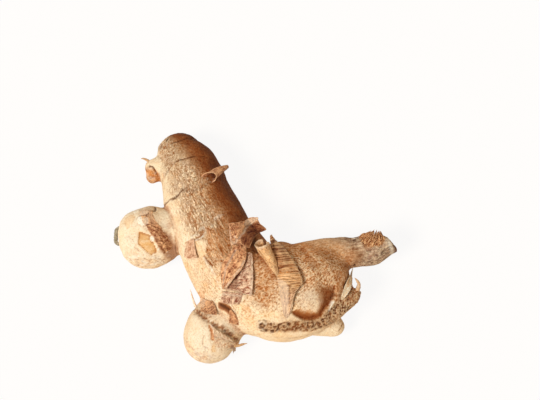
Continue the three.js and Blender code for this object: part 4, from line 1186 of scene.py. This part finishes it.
# ---- Leaves on the bulbs ----
# What is left of each round bulb's first leaves: a frayed collar on the left one, dark but for its upper end,
# and a pale torn sheath on the right of the lower one. Both are thin dead leaf and lie close to the skin.
collar_paper = paper("bulb_collar_paper",
                     [(0.0, paint_of(255, 226, 186)), (0.28, paint_of(238, 190, 146)),
                      (0.42, paint_of(176, 104, 58)), (0.7, paint_of(136, 74, 34)),
                      (1.0, paint_of(120, 66, 30))],
                     RED_LIGHT, RED_DEEP, wear=0.25)
bulb_paper = paper("bulb_sheath_paper", [(0.0, paint_of(255, 222, 180)), (1.0, paint_of(255, 214, 168))],
                   paint_of(255, 240, 212), paint_of(196, 134, 92), veining=0.25)
BULB_COLLAR = [
    [(-51, 13, 0.8), (-48, 13.8, 1), (-45, 12.8, 0.9)],
    [(-50.6, 10.2, 0.9), (-47.5, 10.4, 1.4), (-44.5, 11.2, 1)],
    [(-49.4, 6.7, 1.2), (-46.8, 7.5, 1.6), (-43.8, 8.3, 1)],
    [(-47.7, 3.8, 1.2), (-44.9, 4.8, 1.8), (-41.5, 5.4, 1)],
    [(-46.2, 1.5, 1.3), (-43.1, 2.5, 1.8), (-39.8, 3.3, 0.9)],
    [(-44.6, -0.8, 1.3), (-41.8, 0.7, 1.7), (-38.3, 1.4, 0.8)],
    [(-43.2, -3.2, 1.2), (-40.5, -1.6, 1.5), (-36.8, -0.4, 0.8)],
    [(-41.6, -5.2, 1.1), (-38.9, -3.5, 1.3), (-36.1, -2.4, 0.7)],
    [(-39.7, -6.6, 0.9), (-37.9, -5.4, 1), (-36.4, -4.4, 0.6)],
]
laid_leaf("bulb_collar", BULB_COLLAR, 0, collar_paper, 9, ragged=0.9, crumple=0.35, ribs=0.06,
          creases=[(0.4, 0.4, 1, [(-49.4, 6.4), (-46.6, 1.6), (-44.8, -1), (-42, -5)])],
          worn_and_lit_at=[(0.8, [(-50.6, 12.4), (-47, 13.4), (-47.4, 10.6), (-50.6, 10)]),
                   (0.8, [(-49.4, 8), (-47, 8.6), (-46.4, 6), (-48.6, 5.4)])])
BULB_SHEATH = [
    [(-17.9, -39.9, 0.8), (-15.9, -41.3, 0.9), (-13, -42.9, 0.9), (-10.1, -44.3, 0.9)],
    [(-17.4, -42.4, 0.8), (-15.1, -43.6, 1.2), (-12.2, -44.9, 1.3), (-8.4, -45.1, 1)],
    [(-17.2, -44.9, 0.8), (-15.1, -45.6, 1.2), (-11.7, -46.3, 1.5), (-7.3, -45.2, 1.2)],
    [(-16.8, -47.9, 0.7), (-15.1, -48.6, 1), (-12.2, -48.4, 1.2), (-9.4, -47.4, 1)],
]
laid_leaf("bulb_sheath", BULB_SHEATH, 0, bulb_paper, 10, ragged=0.5, crumple=0.2, ribs=0.04,
          rib_turn=((0, 1.2),),
          creases=[(0.5, 0.5, 1, [(-16.4, -44.2), (-13.9, -44.6), (-10.9, -45.5), (-6.5, -44)])],
          shade_and_stain_at=[(0.9, [(-10.6, -47.8), (-8.1, -47.6), (-8.1, -46.1), (-10.2, -46.4)])])


# ---- Pale strip ----
# A narrow strip of the skin's own outer layer, peeled up on the lobe's right side, over the end of the scar.
# It is thin and nearly white, and hangs on at its lower end, where it is narrowest.
white_paper = paper("pale_peel", [(0.0, paint_of(255, 242, 206)), (1.0, paint_of(255, 232, 186))],
                    paint_of(255, 250, 230), TAN)
PALE_STRIP = [
    [(43, -12.2, 1.6), (42.8, -13.2, 1.3), (42.4, -14.2, 1)],
    [(42.1, -18.2, 2.8), (40.9, -19.4, 1.8), (39.6, -20.4, 1)],
    [(41.6, -23.1, 3.2), (39.4, -24.1, 2), (38, -24.5, 1)],
    [(39.6, -26.8, 2.6), (37.9, -27.3, 1.8), (37.1, -27.1, 1)],
    [(37.2, -28.9, 1), (36.9, -28.6, 1), (36.7, -28.3, 1)],
]
laid_leaf("pale_strip", PALE_STRIP, 20, white_paper, 11, ragged=0.15, crumple=0.1, ribs=0.04)


# ---- Rolled leaves ----
# Two leaf bases that have rolled up round their length as they dried: an orange tube beside the sheath and a
# dark curl on the arm. Each is one thin sheet, grown fast below; its mouth is cut slanting, so that the far
# wall stands up behind it as a flap, and it narrows to its tip.
ROLL_POINTS = 160
ROLL_ROWS = 44
ROLL_COLUMNS = 40
ROLL_OPENS = 0.16  # how much wider its outer edge lies than its inner one
MOUTH_FLARE = 0.2


def directions(line, upward):
    """Which way lies to the side of each point of a line, and which way up."""
    ahead = np.gradient(line, axis=0)
    ahead /= np.linalg.norm(ahead, axis=1)[:, None]
    side = np.cross(ahead, upward)
    side /= np.linalg.norm(side, axis=1)[:, None]
    return side, np.cross(side, ahead)


def rolled_leaf(name, stations, starts, turn, slant, cut_at, finish, number, rim):
    """A station is x, y, z and the radius there. starts and turn are where the roll starts and how far it
    goes round, in degrees, slant is how far down the leaf its mouth is cut, at the turn cut_at, and rim is
    how white its worn mouth is."""
    line = through(stations, ROLL_POINTS)
    side, up = directions(line[:, :3], (0, 0, 1))
    turns = np.radians(np.linspace(starts, starts + turn, ROLL_COLUMNS))
    along, turns = np.meshgrid(np.linspace(0, 1, ROLL_ROWS), turns, indexing="ij")
    cut = slant * (0.5 + 0.5 * np.cos(turns - math.radians(cut_at)))
    along = cut + (1 - cut) * along

    def there(values):
        return np.stack([np.interp(along, np.linspace(0, 1, ROLL_POINTS), column) for column in values.T], -1)

    radius = there(line[:, 3:]) * (1 + ROLL_OPENS * np.linspace(0, 1, ROLL_COLUMNS) ** 2)[None, :, None]
    radius *= 1 + MOUTH_FLARE * np.exp(-(along - cut) * 9)[..., None]
    out = np.cos(turns)[..., None] * there(side) + np.sin(turns)[..., None] * there(up)
    grid = there(line[:, :3]) + radius * out
    sheet, spots, veined, edge, down = ragged_sheet(grid, number, 0.35, 0.16, 0.08, ((0, 0),))
    add_sheet(name, sheet, spots, veined, edge, down, finish, worn=rim * hump(down.ravel() * 20, 1.2))


tube_paper = paper("tube_paper", [(0.0, paint_of(250, 164, 94)), (0.5, paint_of(254, 180, 106)),
                                  (0.85, paint_of(252, 208, 160))],
                   paint_of(255, 216, 162), ORANGE_DEEP, wear=0.45)
dark_paper = paper("dark_curl_paper", [(0.0, paint_of(186, 104, 62)), (1.0, paint_of(168, 92, 54))],
                   RED_LIGHT, RED_DEEP, wear=0.25)
CURLED_SCALE = [(2.4, -1.6, 31.2, 2.0), (2.7, -4.4, 32.2, 2.5), (3.3, -6.7, 33, 2.7), (4.6, -9.7, 34.4, 2.6),
                (6.1, -12.6, 36, 2.3), (7.5, -15.5, 36.6, 1.9), (9, -19.3, 37, 1.1), (9.9, -21.5, 37, 0.4)]
rolled_leaf("curled_scale", CURLED_SCALE, -120, 345, 0.4, 92, tube_paper, 14, 1)
DARK_CURL = [(-22, 24, 31, 2.3), (-19.7, 25.8, 30.4, 2.2), (-18.1, 27.5, 29.4, 2.1), (-16.2, 29.4, 28.4, 1.9),
             (-14.4, 31, 27.2, 1.5), (-12.1, 32.8, 25.8, 0.8)]
rolled_leaf("dark_curl", DARK_CURL, -60, 300, 0.3, 50, dark_paper, 13, 0.25)


# ---- Rootlets ----
# Five thin dried roots, each one grown out of the skin where it starts, tapered and a little crooked.
# They are tough brown fibre, but the one on the left bulb is grey, and the hair root is nearly white.
root_skin, tree = new_material("dried_root")
drawn = node(tree, "Mapping", {"Vector": kept_place(tree, "spot"), "Scale": (1, 0.2, 1)})
strand = noise(tree, drawn, 3.0, 4, 0.7)
torn = noise(tree, drawn, 1.3, 2, 0.6)
dust = noise(tree, (node(tree, "TexCoord", {}), "Object"), 900, 3, 0.6)
pale_root = ramp(tree, dust, (0.35, TAN), (0.6, PALE))
torn_wood = ramp(tree, torn, (0.38, paint_of(84, 42, 20)), (0.5, paint_of(170, 106, 62)),
                 (0.62, paint_of(240, 200, 148)))
grey_root = ramp(tree, dust, (0.35, paint_of(112, 106, 88)), (0.6, paint_of(176, 170, 148)))
colour = ramp(tree, strand, (0.3, BROWN), (0.45, GREY), (0.62, BUTTER))
for name, over in (("pale", pale_root), ("gold", torn_wood), ("grey", grey_root)):
    colour = laid_over(tree, colour, mask(tree, name), 1, over)
bumps = node(tree, "Bump", {"Height": strand, "Strength": 0.7, "Distance": 0.2 * MM})
body = node(tree, "BsdfPrincipled", {"Base Color": colour, "Roughness": 0.8, "Normal": bumps,
                                     "Specular IOR Level": 0.15})
node(tree, "OutputMaterial", {"Surface": body})


def fibre_shape(stations, number, sides):
    """Points, faces and places on it of a tapered fibre. A station is x, y, z and the radius there."""
    line = through(stations, 10 * len(stations))
    side, up = directions(line[:, :3], (0.3, 0.2, 1))
    turns = np.linspace(0, 2 * math.pi, sides, endpoint=False)
    ring = np.cos(turns)[:, None] * side[:, None] + np.sin(turns)[:, None] * up[:, None]
    points = (line[:, None, :3] + ring * line[:, None, 3:]).reshape(-1, 3)
    points += 0.22 * np.repeat(line[:, 3], sides)[:, None] * np.stack(
        [lumps(points, 0.8, number + k) for k in range(3)], 1)
    rows = len(line)
    faces = [(i + j, i + (j + 1) % sides, i + sides + (j + 1) % sides, i + sides + j)
             for i in range(0, (rows - 1) * sides, sides) for j in range(sides)]
    faces += [tuple(range(sides))[::-1], tuple(range((rows - 1) * sides, rows * sides))]
    spots = np.stack([np.tile(turns, rows), np.repeat(np.arange(rows) * 0.5, sides),
                      np.full(rows * sides, number)], 1)
    return points, faces, spots


def add_fibres(name, fibres, slot, pale=0.0, grey=0.0, gold=0.0):
    """Puts fibres in the scene as one piece. Each has its stations, its number and how many sides it has."""
    points, faces, spots = np.zeros((0, 3)), [], np.zeros((0, 3))
    for fibre in fibres:
        more_points, more_faces, more_spots = fibre_shape(*fibre)
        faces += [tuple(len(points) + corner for corner in face) for face in more_faces]
        points, spots = np.concatenate([points, more_points]), np.concatenate([spots, more_spots])
    mesh = bpy.data.meshes.new(name)
    mesh.from_pydata((points * MM).tolist(), [], faces)
    set_place(mesh, "spot", spots)
    for kept, share in (("pale", pale), ("grey", grey), ("gold", gold)):
        set_mask(mesh, kept, np.full(len(points), share))
    piece = smooth_piece("root_" + name, mesh, root_skin)
    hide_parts(name)
    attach(piece, "root")


def rootlet(name, stations, number, **shares):
    """One rootlet. Its first station lies inside the skin."""
    add_fibres(name, [(stations, number, 10)], "rootlet", **shares)


rootlet("hair_root", [(-23.4, -30.6, 14, 0.7), (-25.6, -28.8, 14.4, 0.6), (-27, -25.6, 15.2, 0.45),
                      (-27.8, -22.8, 16.4, 0.25), (-28.2, -21.4, 17.2, 0.08)], 110, pale=0.9)
rootlet("scar_rootlet", [(43, -25.6, 21, 1.2), (44.6, -22.6, 22.4, 1.0), (44.9, -20.6, 23.4, 0.7),
                         (43.8, -19, 24.2, 0.4), (43.1, -18.4, 24.4, 0.1)], 114, pale=0.3)
rootlet("grey_root", [(-60.6, 8.6, 13, 0.7), (-61.9, 7.2, 12.8, 0.9), (-62.3, 4.6, 12.3, 0.9),
                      (-62.1, 2, 12, 0.85), (-60.8, 0.6, 12, 0.6)], 118, grey=0.9)
rootlet("bulb_rootlet", [(-9.6, -45.6, 15, 1.0), (-7.2, -45.9, 14.6, 0.7), (-5.2, -45.4, 14.8, 0.5),
                         (-3.2, -45, 15, 0.1)], 122)
rootlet("stub_rootlet", [(-47.6, 39, 14, 0.9), (-49.6, 40.6, 14.2, 0.6), (-51.2, 41.2, 14.3, 0.35),
                         (-52.2, 41, 14.4, 0.08)], 126)


# ---- Torn tuft ----
# Wood fibres of the stub itself, torn up out of its back where the stem was broken off.
# They are still rooted in it, and lean back over its edge in a ragged fan.
TUFT_FIBRES = 90
TUFT_FEET = [(45.6, 0.6), (46.6, -2.2), (48.6, -4.4), (51.4, -5.2), (54.8, -4.4), (56.4, -1.6)]
TUFT_TIPS = (51.6, 2.0)  # where the first tips lie; the last lie TUFT_SPREAD further right
TUFT_SPREAD = 3.2
TUFT_LOWEST = 24.6
TUFT_HIGHEST = 27.2
TUFT_SEED = 130
tuft_grain = np.random.default_rng(5)
tuft = []
for number, foot in enumerate(through(TUFT_FEET, TUFT_FIBRES)):
    share = number / (TUFT_FIBRES - 1)
    foot = foot + tuft_grain.uniform(-0.7, 0.7, 2)
    tip = np.array([TUFT_TIPS[0] + TUFT_SPREAD * share, TUFT_TIPS[1] + tuft_grain.uniform(-0.6, 1.0)])
    tip = foot + (tip - foot) * tuft_grain.uniform(0.7, 1)
    lean = tuft_grain.uniform(0.0, 0.5)
    thick = tuft_grain.uniform(0.22, 0.5)
    parts = ((0, -0.5, 0.7), (0.35, 0.05 + 0.5 * lean, 1), (0.7, 0.5 + lean, 0.8), (1, 1.2 + 2 * lean, 0.2))
    stations = []
    for part, lift, size in parts:
        x, y = foot + (tip - foot) * part + tuft_grain.uniform(-0.25, 0.25, 2)
        height = min(skin_under(true_skin, x, y, TUFT_LOWEST) + lift, TUFT_HIGHEST)
        stations.append((x, y, height, size * thick))
    tuft.append((stations, TUFT_SEED + number, 6))
add_fibres("torn_tuft", tuft, "orange_scale", gold=1)
